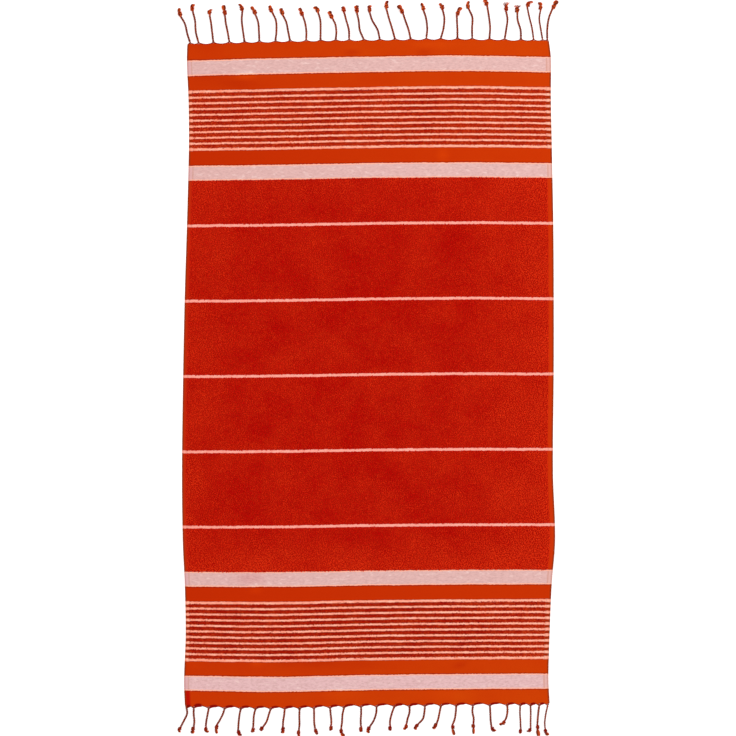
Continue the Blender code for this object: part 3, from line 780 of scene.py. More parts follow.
class Threads:
    """Round threads that become one mesh: each is a grid rolled up round its line, with closed ends."""

    def __init__(self):
        self.lines = []

    def add(self, line, radius, sides, tone, cell):
        """radius and tone are one number or one for each place, and cell is its share of the map."""
        radius, tone = (np.broadcast_to(values, len(line)) for values in (radius, tone))
        self.lines.append((line, radius, sides, tone, cell))

    def mesh(self, name):
        mesh = grid_mesh([(sides, len(line) + 1) for line, _, sides, _, _ in self.lines], name)
        grid = vertex_places(mesh)
        rows = []
        start = 0
        for line, radius, sides, tone, (left, bottom, right, top) in self.lines:
            side, above = (np.concatenate([way[:1], way, way[-1:]]) for way in frames(line))
            before = line[0] + (line[0] - line[1]) * CAP_SHARE
            beyond = line[-1] + (line[-1] - line[-2]) * CAP_SHARE
            line = np.concatenate([[before], line, [beyond]])
            radius = np.concatenate([[0.0], radius, [0.0]])
            tone = np.concatenate([tone[:1], tone, tone[-1:]])
            end = start + (sides + 1) * len(line)
            i, j = grid_numbers(grid[start:end], sides, len(line) - 1)
            angle = 2 * math.pi * (i % sides) / sides
            ring = np.cos(angle)[:, None] * side[j] + np.sin(angle)[:, None] * above[j]
            across = left + (right - left) * (j / (len(line) - 1))
            up = bottom + (top - bottom) * i / sides
            place = line[j] + radius[j, None] * ring
            rows.append(np.column_stack([place, tone[j], across, up, gone_along(line)[j] / MM, i / sides]))
            start = end
        rows = np.concatenate(rows)
        corners = corner_vertices(mesh)
        move_vertices(mesh, rows[:, :3])
        add_attribute(mesh, "tone", rows[:, 3])
        add_map(mesh, "OFBake", rows[corners, 4:6])
        add_map(mesh, "Yarn", rows[corners, 6:8])
        bm = bmesh.new()
        bm.from_mesh(mesh)
        bmesh.ops.remove_doubles(bm, verts=bm.verts[:], dist=SEAM)
        bmesh.ops.recalc_face_normals(bm, faces=bm.faces[:])
        bm.to_mesh(mesh)
        bm.free()
        mesh.shade_smooth()
        return mesh


def string_line(strand, end, mirrored, grown):
    """Points of a whole string, out of the edge and through its knot, then its knot, heading and tip."""
    outward = np.sign(end.v)
    root_x = strand.root * MM
    root = np.array((root_x, end_y(end, np.array([root_x]))[0]))
    straight_y = root[1] - end_rise(end, root_x)
    knot = np.array((strand.knot * MM, straight_y + outward * (strand.reach * MM + KNOT_MIDDLE)))
    near = root + (knot - root) / 3 + (strand.near * MM, 0)
    far = root + (knot - root) * 2 / 3 + (strand.far * MM, 0)
    tip = knot + (strand.turn * MM, outward * strand.tuft * MM)
    heading = unit(tip - far)
    side = np.array((heading[1], -heading[0])) * mirrored
    rest_z = STRING_HEIGHT * strand.thick
    points = [
        (*(root + (0, outward * FOOT_OUT)), FOOT_HEIGHT),
        (*(root + (near - root) * FOOT_SHARE), rest_z),
        (*near, rest_z),
        (*far, rest_z),
        (*(knot - heading * BEFORE_KNOT), rest_z),
    ]
    for t in np.linspace(-KNOT_REACH, KNOT_REACH, KNOT_POINTS):
        curve = (t**3 - 3 * t, t**4 - 4 * t**2 + 1.6, t**5 / 5 - 2 * t)
        ahead, aside, above = np.multiply(curve, KNOT_SIZE) * grown
        points.append((*(knot + heading * ahead + side * aside), KNOT_HEIGHT * grown + above))
    points.append((*(knot + heading * PAST_KNOT), rest_z + PAST_KNOT_RISE))
    return points, knot, heading, tip


def add_string(threads, number, strand, end, draw):
    """One string: two threads twisted round each other and knotted, and the cut ends past the knot."""
    mirrored = draw.choice((-1, 1))
    grown = end.knot_size * draw.uniform(*KNOT_RANGE)
    points, knot, heading, tip = string_line(strand, end, mirrored, grown)
    line = through_points(points, STRING_STEP)
    side, above = frames(line)
    gone = gone_along(line)
    apart = PLY_APART * strand.thick * (1 + FOOT_SPREAD * np.exp(-gone / FOOT_SPREAD_REACH))
    flat = np.exp(-gone / FOOT_REACH)
    phase = draw.uniform(0, 2 * math.pi) + 2 * math.pi * gone / TWIST_LENGTH
    near_knot = np.clip(1.8 - np.linalg.norm(line[:, :2] - knot, axis=1) / KNOT_COLOUR_REACH, 0, 1)
    band = 1 / (len(end.strands) + 1)
    for ply in range(2):
        turned = phase + ply * math.pi
        aside = (1 - flat) * np.cos(turned) + flat * (1 - 2 * ply)
        raised = (1 - flat) * np.sin(turned)
        place = line + apart[:, None] * (aside[:, None] * side + raised[:, None] * above)
        place[:, 2] = np.maximum(place[:, 2], PLY_RADIUS * strand.thick)
        lane = (0.02, (number + 0.03 + 0.37 * ply) * band, 0.98, (number + 0.33 + 0.37 * ply) * band)
        plain = PLY_TONES[ply] + draw.normal(0, PLY_TONE_SPREAD)
        tone = plain + near_knot * (end.knot_tones[ply] + draw.normal(0, KNOT_TONE_SPREAD) - plain)
        share = (1 + (end.knot_size - 1) * near_knot) * (1 - FOOT_THINNING * flat)
        radius = PLY_RADIUS * strand.thick * share
        threads.add(place, radius, PLY_SIDES, tone, lane)
    sideways = np.array((heading[1], -heading[0]))
    start = knot + heading * min(TUFT_START * end.knot_size, strand.tuft / 2 * MM)
    spread = draw.uniform(*TUFT_SPREAD) * end.knot_size * strand.opening
    splay = draw.normal(0, TUFT_SPLAY)
    open_tuft = strand.opening > 1
    first_tone, last_tone = draw.permutation(end.tuft_tones)
    for k in range(TUFT_THREADS):
        aside = (k + 0.5) / TUFT_THREADS * 2 - 1
        bunched = round(TUFT_BUNCHES * aside) / TUFT_BUNCHES if open_tuft else aside
        reach = tip + sideways * (bunched * spread + splay)
        reach -= heading * (TUFT_UNEVEN + TUFT_ROUNDING * aside**2) * draw.uniform(*TUFT_CUT)
        middle = (start + reach) / 2 + sideways * aside * spread * (0.0 if open_tuft else TUFT_BELLY)
        height = draw.uniform(*TUFT_HEIGHTS)
        ends = [
            (*(start + sideways * aside * TUFT_ROOT), draw.uniform(*TUFT_ROOT_HEIGHTS)),
            (*middle, height / 2 + TUFT_ARCH),
            (*reach, height),
        ]
        left = 0.02 + 0.96 * k / TUFT_THREADS
        cell = (left, (number + 0.78) * band, left + 0.85 * 0.96 / TUFT_THREADS, (number + 0.96) * band)
        tone = first_tone + (last_tone - first_tone) * (aside + 1) / 2 + draw.normal(0, TUFT_TONE_SPREAD)
        threads.add(through_points(ends, TUFT_STEP), TUFT_RADIUS * end.knot_size, TUFT_SIDES, tone, cell)


def add_gathered_edge(threads, end, draw):
    """The warp threads that run along the edge to the strings on either side, drawn together in between."""
    count = len(end.strands)
    band = 1 / (count + 1)
    roots = [strand.root * MM for strand in end.strands]
    left_corner, right_corner = (float(side_x(end.v, side)) - side * CORD_INSET for side in (-1, 1))
    spans = list(zip([left_corner] + roots, roots + [right_corner]))
    width = 0.98 / len(spans)
    for number, (start, stop) in enumerate(spans):
        x = np.linspace(start, stop, max(round((stop - start) / CORD_STEP), 4) + 1)
        share = crescent(end, x)
        thick = end.cord_radius * (1 - end.thinning * (1 - share)) * draw.uniform(*CORD_RANGE)
        drawn = 0 * x
        if number > 0:
            drawn = drawn + np.exp(-(x - start) / CORD_REACH)
        if number < count:
            drawn = drawn + np.exp(-(stop - x) / CORD_REACH)
        left = 0.01 + width * number
        for k in range(end.cords):
            beyond = CORD_OUT + CORD_PITCH * thick * k
            y = end_y(end, x) + np.sign(end.v) * (beyond + drawn * (CORD_DRAWN + CORD_DRAWN_EACH * k))
            z = np.maximum(thick * CORD_LEVELS[k] + drawn * CORD_LIFT, thick)
            bottom = count + 0.05 + 0.9 * k / end.cords
            cell = (left, bottom * band, left + 0.9 * width, (bottom + 0.72 / end.cords) * band)
            tone = end.cord_tone + draw.uniform(-CORD_CHANCE, CORD_CHANCE)
            tone = tone + THIN_TONE * end.thinning * (1 - share)
            threads.add(np.stack([x, y, z], axis=1), thick, CORD_SIDES, tone, cell)


def make_fringe_mesh(end, draw):
    threads = Threads()
    for number, strand in enumerate(end.strands):
        add_string(threads, number, strand, end, draw)
    add_gathered_edge(threads, end, draw)
    return threads.mesh(end.name)


# ---- materials ----


class Nodes:
    """Adds nodes to the tree of a material or a group. Their inputs are sockets or values."""

    def __init__(self, tree):
        self.tree = tree

    def add(self, kind, inputs, **settings):
        """Add a node, set it up, feed each named input, and give its outputs."""
        node = self.tree.nodes.new(kind)
        for name, value in settings.items():
            setattr(node, name, value)
        for name, value in inputs.items():
            if isinstance(value, bpy.types.NodeSocket):
                self.tree.links.new(value, node.inputs[name])
            else:
                node.inputs[name].default_value = value
        return node.outputs

    def calc(self, operation, *values, clamp=False):
        return self.add("ShaderNodeMath", dict(enumerate(values)), operation=operation, use_clamp=clamp)[0]

    def plus(self, first, second):
        return self.calc("ADD", first, second)

    def minus(self, first, second, clamp=False):
        return self.calc("SUBTRACT", first, second, clamp=clamp)

    def times(self, first, second):
        return self.calc("MULTIPLY", first, second)

    def over(self, first, second):
        return self.calc("DIVIDE", first, second)

    def times_plus(self, first, second, third, clamp=False):
        return self.calc("MULTIPLY_ADD", first, second, third, clamp=clamp)

    def away(self, value, middle):
        """Distance of the value from the middle."""
        return self.calc("ABSOLUTE", self.minus(value, middle))

    def most(self, values):
        """The greatest of several values."""
        return reduce(lambda first, second: self.calc("MAXIMUM", first, second), values)

    def ramp(self, value, low, high, smooth=False):
        """value's place between low and high, from 0 to 1."""
        inputs = {"Value": value, "From Min": low, "From Max": high}
        kind = "SMOOTHSTEP" if smooth else "LINEAR"
        return self.add("ShaderNodeMapRange", inputs, interpolation_type=kind, clamp=True)[0]

    def blend(self, share, first, second, kind="MIX"):
        """Colour mixed from two, by share."""
        inputs = {0: share, 6: first, 7: second}
        return self.add("ShaderNodeMix", inputs, data_type="RGBA", blend_type=kind)[2]

    def darkened(self, colour, parts):
        """The colour with its red, green and blue multiplied by the three parts."""
        shade = self.add("ShaderNodeCombineColor", dict(enumerate(parts)))[0]
        return self.blend(1.0, colour, shade, "MULTIPLY")

    def layered(self, colour, *layers):
        """The colour under layers, each given as its mask, its strength and its own colour."""
        for mask, strength, layer in layers:
            colour = self.blend(self.times(mask, strength), colour, layer)
        return colour

    def noise(self, vector, scale, detail, roughness=0.5):
        inputs = {"Vector": vector, "Scale": scale, "Detail": detail, "Roughness": roughness}
        return self.add("ShaderNodeTexNoise", inputs)[0]

    def group(self, name, inputs):
        """Outputs of a node that uses the shader node group of that name."""
        return self.add("ShaderNodeGroup", inputs, node_tree=bpy.data.node_groups[name])

    def mottle(self, vector, patch_scale, fleck_scale, fleck_stretch):
        """Patches and flecks of uneven cotton."""
        inputs = {"Vector": vector, "Patch Scale": patch_scale, "Fleck Scale": fleck_scale}
        return self.group("Cotton Mottle", {**inputs, "Fleck Stretch": fleck_stretch})

    def stripes(self, stripe, place, rim=2.0, softness=0.4, wider=0.0):
        """The three masks of a stripe or group of stripes."""
        return self.group("Stripes", {
            "Place": place, "First": stripe.first, "Pitch": float(stripe.pitch), "Count": stripe.count,
            "Half Width": self.plus(wider, stripe.half_width), "Rim": rim, "Softness": softness,
        })

    def carried(self, name):
        """A number that the mesh carries for each vertex."""
        return self.add("ShaderNodeAttribute", {}, attribute_name=name)["Fac"]

    def object_place(self):
        return self.add("ShaderNodeTexCoord", {})["Object"]

    def weave_places(self):
        """What the mesh carries of its weave: u, then v and the distance to the side in millimetres."""
        weave = self.add("ShaderNodeAttribute", {}, attribute_name="weave")["Vector"]
        parts = self.add("ShaderNodeSeparateXYZ", {0: weave})
        return parts[0], self.over(parts[1], MM), self.over(parts[2], MM)


def new_group(name, defaults, results, vector=None):
    """Nodes of a new shader node group with named sockets, its source sockets, and where results go."""
    tree = bpy.data.node_groups.new(name, "ShaderNodeTree")
    if vector:
        tree.interface.new_socket(vector, in_out="INPUT", socket_type="NodeSocketVector")
    for label, default in defaults.items():
        socket = tree.interface.new_socket(label, in_out="INPUT", socket_type="NodeSocketFloat")
        socket.default_value = default
    for label in results:
        tree.interface.new_socket(label, in_out="OUTPUT", socket_type="NodeSocketFloat")
    return Nodes(tree), tree.nodes.new("NodeGroupInput").outputs, tree.nodes.new("NodeGroupOutput").inputs


def finish_group(nodes, values, result):
    """Link the values to the group's result sockets, in their order."""
    for k, value in enumerate(values):
        nodes.tree.links.new(value, result[k])


def make_stripes_group():
    """Mask of evenly spaced stripes, with a rim just inside and one just outside each stripe."""
    nodes, source, result = new_group(
        "Stripes",
        {"Place": 0, "First": 0, "Pitch": 1, "Count": 1, "Half Width": 1, "Rim": 2, "Softness": 0.4},
        ("Stripe", "Inner Rim", "Outer Rim"),
    )
    pitch = nodes.calc("MAXIMUM", source["Pitch"], 1.0)
    number = nodes.calc("ROUND", nodes.over(nodes.minus(source["First"], source["Place"]), pitch))
    last = nodes.minus(source["Count"], 1.0)
    number = nodes.calc("MINIMUM", nodes.calc("MAXIMUM", number, 0.0), last)
    away = nodes.away(source["Place"], nodes.minus(source["First"], nodes.times(number, pitch)))
    masks = []
    for shift in (0.0, -1.0, 1.0):
        limit = nodes.times_plus(source["Rim"], shift, source["Half Width"])
        low = nodes.plus(limit, source["Softness"])
        high = nodes.minus(limit, source["Softness"])
        masks.append(nodes.ramp(away, low, high, smooth=True))
    stripe, smaller, larger = masks
    rims = [nodes.minus(stripe, smaller, clamp=True), nodes.minus(larger, stripe, clamp=True)]
    finish_group(nodes, [stripe] + rims, result)


def make_mottle_group():
    """Uneven dye and thread thickness: broad patches, and flecks that may be drawn out across the cloth."""
    nodes, source, result = new_group(
        "Cotton Mottle", {"Patch Scale": 9.0, "Fleck Scale": 220.0, "Fleck Stretch": 1.0},
        ("Patches", "Flecks"), vector="Vector",
    )
    patches = nodes.noise(source["Vector"], source["Patch Scale"], 3.0, 0.55)
    stretch = nodes.add("ShaderNodeCombineXYZ", {0: source["Fleck Stretch"], 1: 1.0, 2: 1.0})[0]
    drawn = nodes.add("ShaderNodeVectorMath", {0: source["Vector"], 1: stretch}, operation="MULTIPLY")[0]
    flecks = nodes.noise(drawn, source["Fleck Scale"], 3.0, 0.6)
    finish_group(nodes, [nodes.ramp(patches, 0.3, 0.7), nodes.ramp(flecks, 0.28, 0.72)], result)


def make_weave_group():
    """Plain weave: threads that pass over and under each other, given in the weave's own coordinates."""
    nodes, source, result = new_group(
        "Plain Weave", {"Across": 0.0, "Along": 0.0, "Warp Spacing": 1.0, "Weft Spacing": 1.0}, ("Height",),
    )
    waves = []
    for place, spacing in (("Across", "Warp Spacing"), ("Along", "Weft Spacing")):
        turn = nodes.times(nodes.over(source[place], source[spacing]), math.pi)
        waves.append(nodes.calc("SINE", turn))
    finish_group(nodes, [nodes.calc("ABSOLUTE", nodes.times(*waves))], result)


def new_material(name, sheen_tint):
    """Matt cotton: its nodes and its shader. What is the same all over is set on the shader itself."""
    material = bpy.data.materials.new(name)
    material.use_nodes = True
    shader = material.node_tree.nodes["Principled BSDF"]
    shader.inputs["Specular IOR Level"].default_value = 0.015
    shader.inputs["Sheen Weight"].default_value = 0.03
    shader.inputs["Sheen Roughness"].default_value = 0.6
    shader.inputs["Sheen Tint"].default_value = sheen_tint
    return material, Nodes(material.node_tree), shader


def finish_material(nodes, shader, colour, roughness, height, strength, distance):
    """Feed the shader its colour and roughness, and a bump from the height."""
    nodes.tree.links.new(colour, shader.inputs["Base Color"])
    nodes.tree.links.new(roughness, shader.inputs["Roughness"])
    bump = nodes.add("ShaderNodeBump", {"Strength": strength, "Distance": distance, "Height": height})[0]
    nodes.tree.links.new(bump, shader.inputs["Normal"])


def make_cloth_material(colours):
    """The woven cloth: orange ground, pale bands with bright edges, pale lines, and red under the terry."""
    material, nodes, shader = new_material("woven_cotton", (1.0, 0.3, 0.1, 1.0))
    times, blend, ramp, most, stripes = nodes.times, nodes.blend, nodes.ramp, nodes.most, nodes.stripes
    places = nodes.object_place()
    u, v, edge = nodes.weave_places()
    wandering = nodes.times_plus(nodes.minus(nodes.noise(places, WANDER_SCALE, 2.0), 0.5), WANDER, v)
    patches, flecks = nodes.mottle(places, *CLOTH_MOTTLE)
    coarse = nodes.mottle(places, *COARSE_MOTTLE)[1]
    warp, weft = THREAD_SPACINGS
    across = times(u, CLOTH_FLAT[0] / 2 / MM)
    weave = nodes.group("Plain Weave", {
        "Across": across, "Along": v, "Warp Spacing": warp, "Weft Spacing": weft,
    })[0]

    # Masks
    # Share of the way to the right side. The colours blended by it are painted light: lighter towards the
    # right, as if lit from that side.
    right = nodes.times_plus(u, 0.5, 0.5)
    in_selvedge = ramp(nodes.minus(edge, times(u, SELVEDGE_SHIFT)), *SELVEDGE_FADE)
    stitch = ramp(nodes.away(edge, STITCH_LINE), *STITCH_FADE)
    wider = times(in_selvedge, WIDENING)
    fine_lines = (UPPER_LINES, LOWER_LINES)
    fine = [stripes(lines, wandering, wider=wider) for lines in fine_lines]
    narrow = [stripes(lines, wandering, rim=EDGE_RIM, wider=wider)[1] for lines in fine_lines]
    outer_lines = [stripes(lines, wandering, wider=wider)[0] for lines in OUTER_LINES]
    wide = stripes(TERRY_LINES, wandering)[0]
    lines = most([fine[0][0], fine[1][0], wide] + outer_lines)
    bands = [stripes(stripe, wandering, rim=BAND_RIM) for stripe in PALE_BANDS]
    band, inner_rim, outer_rim = (most([masks[k] for masks in bands]) for k in range(3))

    # The ground: orange bands, and red under the terry and the ribs
    inner = blend(right, colours.orange_left, colours.orange_right)
    outer = blend(right, colours.end_left, colours.end_right)
    orange = blend(ramp(nodes.away(v, TONE_MIDDLE), *TONE_FADE), inner, outer)
    low_band = times(ramp(nodes.away(v, LOW_BAND), *LOW_BAND_FADE), 0.5)
    orange = blend(most([times(patches, 0.3), low_band]), orange, colours.orange_shade)
    red = blend(patches, colours.red_ground, colours.red_warm)
    selvedge = blend(right, colours.selvedge_left, colours.selvedge_right)
    ground = nodes.layered(
        blend(stripes(TERRY_FIELD, v)[0], orange, blend(in_selvedge, red, selvedge)),
        (most([stripes(stripe, v)[0] for stripe in RIBS]), 0.9, blend(in_selvedge, red, colours.rib_edge)),
        (most([outer_rim, fine[0][2], fine[1][2]]), 0.42, colours.beside_lines),
    )

    # The pale bands and lines
    pale_edge = blend(right, colours.pale_edge_left, colours.pale_edge_right)
    pale = nodes.layered(
        blend(right, colours.pale_left, colours.pale_right),
        (ramp(v, *LOW_PALE_FADE), 0.8, colours.pale_low),
        (ramp(flecks, 0.35, 0.95), 0.7, colours.pale_fleck),
        (ramp(coarse, 0.62, 1.0), 0.7, colours.pale_light),
        (ramp(coarse, -0.6, 1.0), in_selvedge, pale_edge),
        (stitch, 0.45, colours.stitch),
        (inner_rim, 0.9, colours.band_rim),
    )
    light_share = nodes.times_plus(right, 0.35, ramp(coarse, 0.2, 0.9), clamp=True)
    line = nodes.layered(
        blend(light_share, colours.line, colours.line_light),
        (most(narrow), 0.7, colours.line_edge),
        (wide, 0.5, colours.line_wide),
        (stitch, 0.4, colours.stitch),
    )

    # Everything together, with the red of the edges, painted shade at the side edges, and the painted light
    # and shade of folds and threads
    corner = times(*(ramp(place, *fade) for place, fade in zip((v, u), CORNER_FADES)))
    thin = nodes.minus(0.85, times(most([band, lines]), 0.6))
    colour = nodes.layered(
        blend(band, blend(lines, ground, line), pale),
        (corner, 0.95, colours.corner),
        (ramp(nodes.carried("gathered"), 0.1, 0.5), 1.0, colours.yarn_red),
        # painted shade along the side edges, where the cloth rolls down
        (ramp(edge, *EDGE_SHADE_FADE), thin, colours.outline),
    )
    # Painted shade: the weave's crossing threads lighter and its hollows darker
    threads = nodes.times_plus(ramp(weave, 0.0, 1.0), 0.10, 0.92)
    fold_shade = nodes.carried("shade")
    colour = nodes.darkened(colour, [nodes.times_plus(fold_shade, share, threads) for share in (0.35, 1.0, 0.9)])
    finish_material(nodes, shader, colour, ramp(flecks, -4.0, 1.6), weave, 0.35, 0.35 * MM)
    return material


def make_terry_material(colours):
    """The terry's loops: each between a deep and a warm red, and browner in the ribs."""
    material, nodes, shader = new_material("terry_cotton", (1.0, 0.12, 0.03, 1.0))
    places = nodes.object_place()
    _, v, _ = nodes.weave_places()
    patches, flecks = nodes.mottle(places, *TERRY_MOTTLE)
    shade = nodes.times_plus(nodes.minus(patches, 0.5), 0.5, nodes.carried("tone"))
    shade = nodes.times_plus(nodes.minus(flecks, 0.5), 0.38, shade, clamp=True)
    rib = nodes.blend(shade, colours.rib_deep, colours.rib_warm)
    pile = nodes.blend(shade, colours.terry_deep, colours.terry_warm)
    colour = nodes.layered(
        nodes.blend(nodes.stripes(TERRY_FIELD, v)[0], rib, pile),
        # painted shade of the loops beside the field's pale lines
        (nodes.stripes(TERRY_LINES, v, rim=3.0, softness=1.0)[2], 0.4, colours.terry_deep),
        (nodes.ramp(nodes.noise(places, FUZZ_SCALE, 2.0), 0.42, 0.75), 0.07, colours.terry_fuzz),
    )
    # Painted shade: each loop darker towards its roots, down among the others
    depth = nodes.times_plus(nodes.calc("POWER", nodes.carried("rise"), 0.6), 0.35, 0.65)
    colour = nodes.darkened(colour, [depth] * 3)
    finish_material(nodes, shader, colour, nodes.ramp(flecks, -4.0, 1.5), flecks, 0.2, 0.2 * MM)
    return material


def make_yarn_material(colours):
    """The strings' thread: orange and dark red fibres, laid slantwise along it."""
    material, nodes, shader = new_material("twisted_yarn", (1.0, 0.3, 0.1, 1.0))
    patches, flecks = nodes.mottle(nodes.object_place(), *YARN_MOTTLE)
    yarn = nodes.add("ShaderNodeSeparateXYZ", {0: nodes.add("ShaderNodeUVMap", {}, uv_map="Yarn")[0]})
    slant = nodes.times_plus(yarn[1], 6 * math.pi, nodes.times(yarn[0], 2.2))
    fibres = nodes.times_plus(nodes.calc("SINE", slant), 0.5, 0.5)
    share = nodes.carried("tone")
    for part, strength in ((fibres, 0.22), (patches, 0.35), (flecks, 0.3)):
        share = nodes.times_plus(nodes.minus(part, 0.5), strength, share)
    colour = nodes.blend(nodes.ramp(share, 0.0, 1.0), colours.yarn_dark, colours.yarn_light)
    colour = nodes.blend(nodes.ramp(share, 0.0, -0.5), colour, colours.yarn_red)
    finish_material(nodes, shader, colour, nodes.ramp(flecks, -4.0, 1.5), fibres, 0.3, 0.15 * MM)
    return material


def make_floor_material(colours):
    material = bpy.data.materials.new("pale_floor")
    material.use_nodes = True
    shader = material.node_tree.nodes["Principled BSDF"]
    shader.inputs["Base Color"].default_value = colours.floor
    shader.inputs["Roughness"].default_value = 0.9
    shader.inputs["Specular IOR Level"].default_value = 0.1
    shader.inputs["Emission Color"].default_value = (1.0, 1.0, 1.0, 1.0)
    shader.inputs["Emission Strength"].default_value = 0.35
    return material


# ---- the add-on ----


def display(red, green, blue):
    """A colour given as it shows on a screen, from 0 to 255, as the numbers that light adds up in."""
    parts = [value / 255 for value in (red, green, blue)]
    return tuple(p / 12.92 if p <= 0.04045 else ((p + 0.055) / 1.055) ** 2.4 for p in parts) + (1.0,)


def size_field(name, description, default):
    return bpy.props.FloatProperty(
        name=name, description=description, default=default, min=0.0, unit="LENGTH",
    )


def colour_field(name, description, *shown):
    return bpy.props.FloatVectorProperty(
        name=name, description=description, default=display(*shown), subtype="COLOR", size=4, min=0.0,
        max=1.0,
    )


class TowelSizes(bpy.types.PropertyGroup):
    """Sizes of the cloth's threads and loops."""

    cloth_thickness: size_field("Cloth Thickness", "Thickness of the flat-woven cloth", 1.5 * MM)
    cloth_spacing: size_field("Lengthwise Lines", "Distance between the cloth's lengthwise lines", 4.4 * MM)
    cloth_row_spacing: size_field("Crosswise Lines", "Distance between its crosswise lines", 11.0 * MM)
    loop_spacing: size_field("Loop Spacing", "Distance between the terry's loops", 3.06 * MM)
    loop_span: size_field("Loop Span", "Length that a loop covers", 2.9 * MM)
    loop_width: size_field("Loop Width", "Width of a loop's thread", 1.85 * MM)
    loop_height: size_field("Loop Height", "Height of the loops in the field", 1.9 * MM)
    rib_share: bpy.props.FloatProperty(
        name="Rib Share", description="Height of the ribs' loops, as a share of the field's", default=0.68,
        min=0.0, max=2.0, subtype="FACTOR",
    )


class TowelColours(bpy.types.PropertyGroup):
    """Colours of the cotton and of the floor."""

    # Each left and right pair is painted light: the right one lighter, as if lit from that side.
    orange_left: colour_field("Orange, Left", "Flat-woven bands near the terry, left side", 187, 41, 1)
    orange_right: colour_field("Orange, Right", "Flat-woven bands near the terry, right side", 198, 54, 3)
    end_left: colour_field("End Bands, Left", "Flat-woven bands at the ends, left side", 196, 54, 2)
    end_right: colour_field("End Bands, Right", "Flat-woven bands at the ends, right side", 202, 64, 3)
    orange_shade: colour_field("Orange, Shade", "Darker patches of the flat-woven bands", 192, 41, 1)
    red_ground: colour_field("Red Ground", "Cloth under the terry", 170, 10, 2)
    red_warm: colour_field("Red Ground, Warm", "Lighter patches of the cloth under the terry", 180, 24, 5)
    terry_deep: colour_field("Terry, Deep", "Darker loops", 194, 2, 1)
    terry_warm: colour_field("Terry, Warm", "Lighter loops", 228, 48, 13)
    terry_fuzz: colour_field("Terry, Fuzz", "Fine light fibres on the loops", 216, 84, 70)
    rib_deep: colour_field("Ribs, Deep", "Darker loops of the ribs", 142, 4, 0)
    rib_warm: colour_field("Ribs, Warm", "Lighter loops of the ribs", 207, 69, 25)
    selvedge_left: colour_field("Selvedge, Left", "Flat strip down the left side", 189, 37, 8)
    selvedge_right: colour_field("Selvedge, Right", "Flat strip down the right side", 199, 49, 6)
    rib_edge: colour_field("Rib Ends", "Ribs where they cross the flat strips", 165, 38, 8)
    pale_left: colour_field("Pale Band, Left", "Pale bands at the left side", 221, 176, 171)
    pale_right: colour_field("Pale Band, Right", "Pale bands at the right side", 224, 180, 175)
    pale_fleck: colour_field("Pale Band, Flecks", "Greyish flecks in the pale bands", 196, 152, 148)
    pale_light: colour_field("Pale Band, Light", "Light specks in the pale bands", 238, 204, 198)
    pale_low: colour_field("Pale Band, Lower End", "Pale band at the lower end", 228, 185, 187)
    pale_edge_left: colour_field("Pale Selvedge, Left", "Pale bands in the left selvedge", 219, 167, 168)
    pale_edge_right: colour_field("Pale Selvedge, Right", "Pale bands in the right selvedge", 226, 174, 163)
    band_rim: colour_field("Band Rim", "Bright edges of the pale bands", 255, 180, 152)
    line: colour_field("Pale Lines", "Thin lines across the terry", 249, 148, 124)
    line_edge: colour_field("Pale Lines, Edge", "Orange threads along the thin lines", 246, 128, 84)
    line_light: colour_field("Pale Lines, Light", "Light specks in the thin lines", 255, 187, 165)
    line_wide: colour_field("Wide Pale Lines", "Pinker threads in the field's lines", 243, 154, 144)
    stitch: colour_field("Stitches", "Stitched line down each side of the pale stripes", 196, 134, 116)
    corner: colour_field("Lower Left Corner", "Red threads in the corner's selvedge", 180, 11, 4)
    # Painted shade along the very edge of each side, where the cloth rolls down
    outline: colour_field("Side Edge", "Turned threads at the very edge of each side", 140, 50, 12)
    beside_lines: colour_field("Beside Lines", "Dark threads beside the pale bands and lines", 96, 18, 3)
    yarn_red: colour_field("Yarn, Red", "Red thread of the knots and of the gathered edges", 141, 8, 2)
    yarn_dark: colour_field("Yarn, Dark", "Brown thread of the strings", 104, 40, 23)
    yarn_light: colour_field("Yarn, Light", "Orange thread of the strings", 212, 84, 30)
    floor: colour_field("Floor", "Floor under the towel", 240, 240, 240)


class TOWEL_OT_stage(bpy.types.Operator):
    """Make the pale floor, the soft light and the camera above the towel."""

    bl_idname = "towel.make_stage"
    bl_label = "Make Stage"
    bl_options = {"REGISTER", "UNDO"}

    def execute(self, context):
        scene = context.scene
        bm = bmesh.new()
        bmesh.ops.create_grid(bm, x_segments=1, y_segments=1, size=FLOOR_REACH)
        bmesh.ops.translate(bm, vec=(0, 0, -FLOOR_GAP), verts=bm.verts[:])
        mesh = mesh_of(bm, "floor")
        mesh.materials.append(make_floor_material(scene.towel_colours))
        floor = bpy.data.objects.new("floor", mesh)
        scene.collection.objects.link(floor)

        world = bpy.data.worlds.new("soft_light")
        world.use_nodes = True
        background = world.node_tree.nodes["Background"]
        background.inputs["Color"].default_value = (1.0, 1.0, 1.0, 1.0)
        background.inputs["Strength"].default_value = WORLD_LIGHT
        scene.world = world
        for lamp in LAMPS:
            light = bpy.data.lights.new(lamp.name, "AREA")
            light.shape = "DISK"
            light.size = lamp.size
            light.energy = lamp.power
            obj = bpy.data.objects.new(lamp.name, light)
            obj.location = (lamp.x, lamp.y, lamp.z)
            toward = -obj.location
            obj.rotation_euler = toward.to_track_quat("-Z", "Y").to_euler()
            scene.collection.objects.link(obj)

        camera = bpy.data.cameras.new("camera")
        camera.lens = LENS
        camera.sensor_width = SENSOR
        obj = bpy.data.objects.new("camera", camera)
        obj.location = (CAMERA_X, 0.0, FRAME_WIDTH * LENS / SENSOR)
        scene.collection.objects.link(obj)
        scene.camera = obj
        scene.view_settings.view_transform = "Standard"
        return {"FINISHED"}


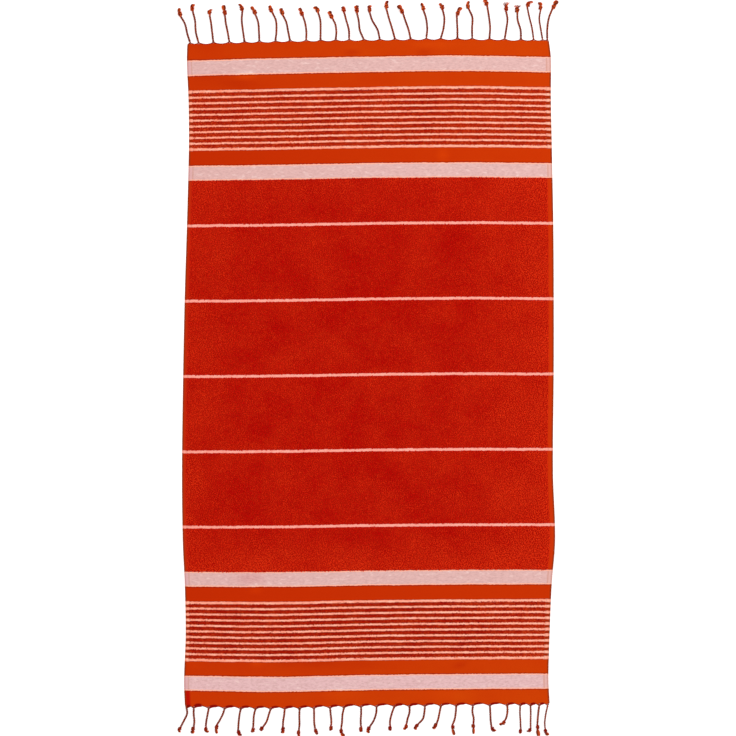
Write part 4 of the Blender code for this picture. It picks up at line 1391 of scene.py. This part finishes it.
class TOWEL_OT_terry(bpy.types.Operator):
    """Make the loops of the terry field and ribs, in lengthwise strips."""

    bl_idname = "towel.make_terry"
    bl_label = "Make Terry"
    bl_options = {"REGISTER", "UNDO"}

    def execute(self, context):
        sizes = context.scene.towel_sizes
        material = make_terry_material(context.scene.towel_colours)
        half = CLOTH_FLAT[0] / 2
        left, right = -1 + SELVEDGES[0] / half, 1 - SELVEDGES[1] / half
        columns = np.linspace(left, right, round(half * (right - left) / sizes.loop_spacing))
        rows = loop_rows(sizes.loop_spacing)
        draw = np.random.default_rng(TERRY_SEED)
        for name, part in zip(TERRY_PIECES, np.array_split(columns, len(TERRY_PIECES))):
            mesh = make_terry_strip(name, part, rows, sizes, draw)
            shown_object(name, mesh, material)
        return {"FINISHED"}


class TOWEL_OT_fringes(bpy.types.Operator):
    """Make both fringes: twisted strings with knots and cut ends, and the threads gathered into them."""

    bl_idname = "towel.make_fringes"
    bl_label = "Make Fringes"
    bl_options = {"REGISTER", "UNDO"}

    def execute(self, context):
        material = make_yarn_material(context.scene.towel_colours)
        draw = np.random.default_rng(FRINGE_SEED)
        for end in ENDS:
            obj = shown_object(end.name, make_fringe_mesh(end, draw), material)
            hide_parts(end.node)
        return {"FINISHED"}


class TOWEL_OT_cloth(bpy.types.Operator):
    """Make the woven cloth."""

    bl_idname = "towel.make_cloth"
    bl_label = "Make Cloth"
    bl_options = {"REGISTER", "UNDO"}

    def execute(self, context):
        material = make_cloth_material(context.scene.towel_colours)
        mesh = make_cloth_mesh(context.scene.towel_sizes)
        obj = shown_object("woven_cloth", mesh, material)
        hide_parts("towel_cloth")
        return {"FINISHED"}


class TOWEL_PT_panel(bpy.types.Panel):
    """Lists the steps that make the towel, and its sizes and colours."""

    bl_idname = "TOWEL_PT_panel"
    bl_label = "Beach Towel"
    bl_space_type = "VIEW_3D"
    bl_region_type = "UI"
    bl_category = "Towel"

    def draw(self, context):
        for operator in OPERATORS:
            self.layout.operator(operator.bl_idname)
        for group in (context.scene.towel_sizes, context.scene.towel_colours):
            box = self.layout.box()
            for name in group.__annotations__:
                box.prop(group, name)


OPERATORS = (TOWEL_OT_stage, TOWEL_OT_terry, TOWEL_OT_fringes, TOWEL_OT_cloth)
CLASSES = (TowelSizes, TowelColours) + OPERATORS + (TOWEL_PT_panel,)


def register():
    for cls in CLASSES:
        bpy.utils.register_class(cls)
    bpy.types.Scene.towel_sizes = bpy.props.PointerProperty(type=TowelSizes)
    bpy.types.Scene.towel_colours = bpy.props.PointerProperty(type=TowelColours)


def unregister():
    del bpy.types.Scene.towel_colours
    del bpy.types.Scene.towel_sizes
    for cls in reversed(CLASSES):
        bpy.utils.unregister_class(cls)


def main():
    register()
    make_stripes_group()
    make_mottle_group()
    make_weave_group()
    bpy.ops.towel.make_stage()
    bpy.ops.towel.make_terry()
    bpy.ops.towel.make_fringes()
    bpy.ops.towel.make_cloth()


if __name__ == "__main__":
    main()
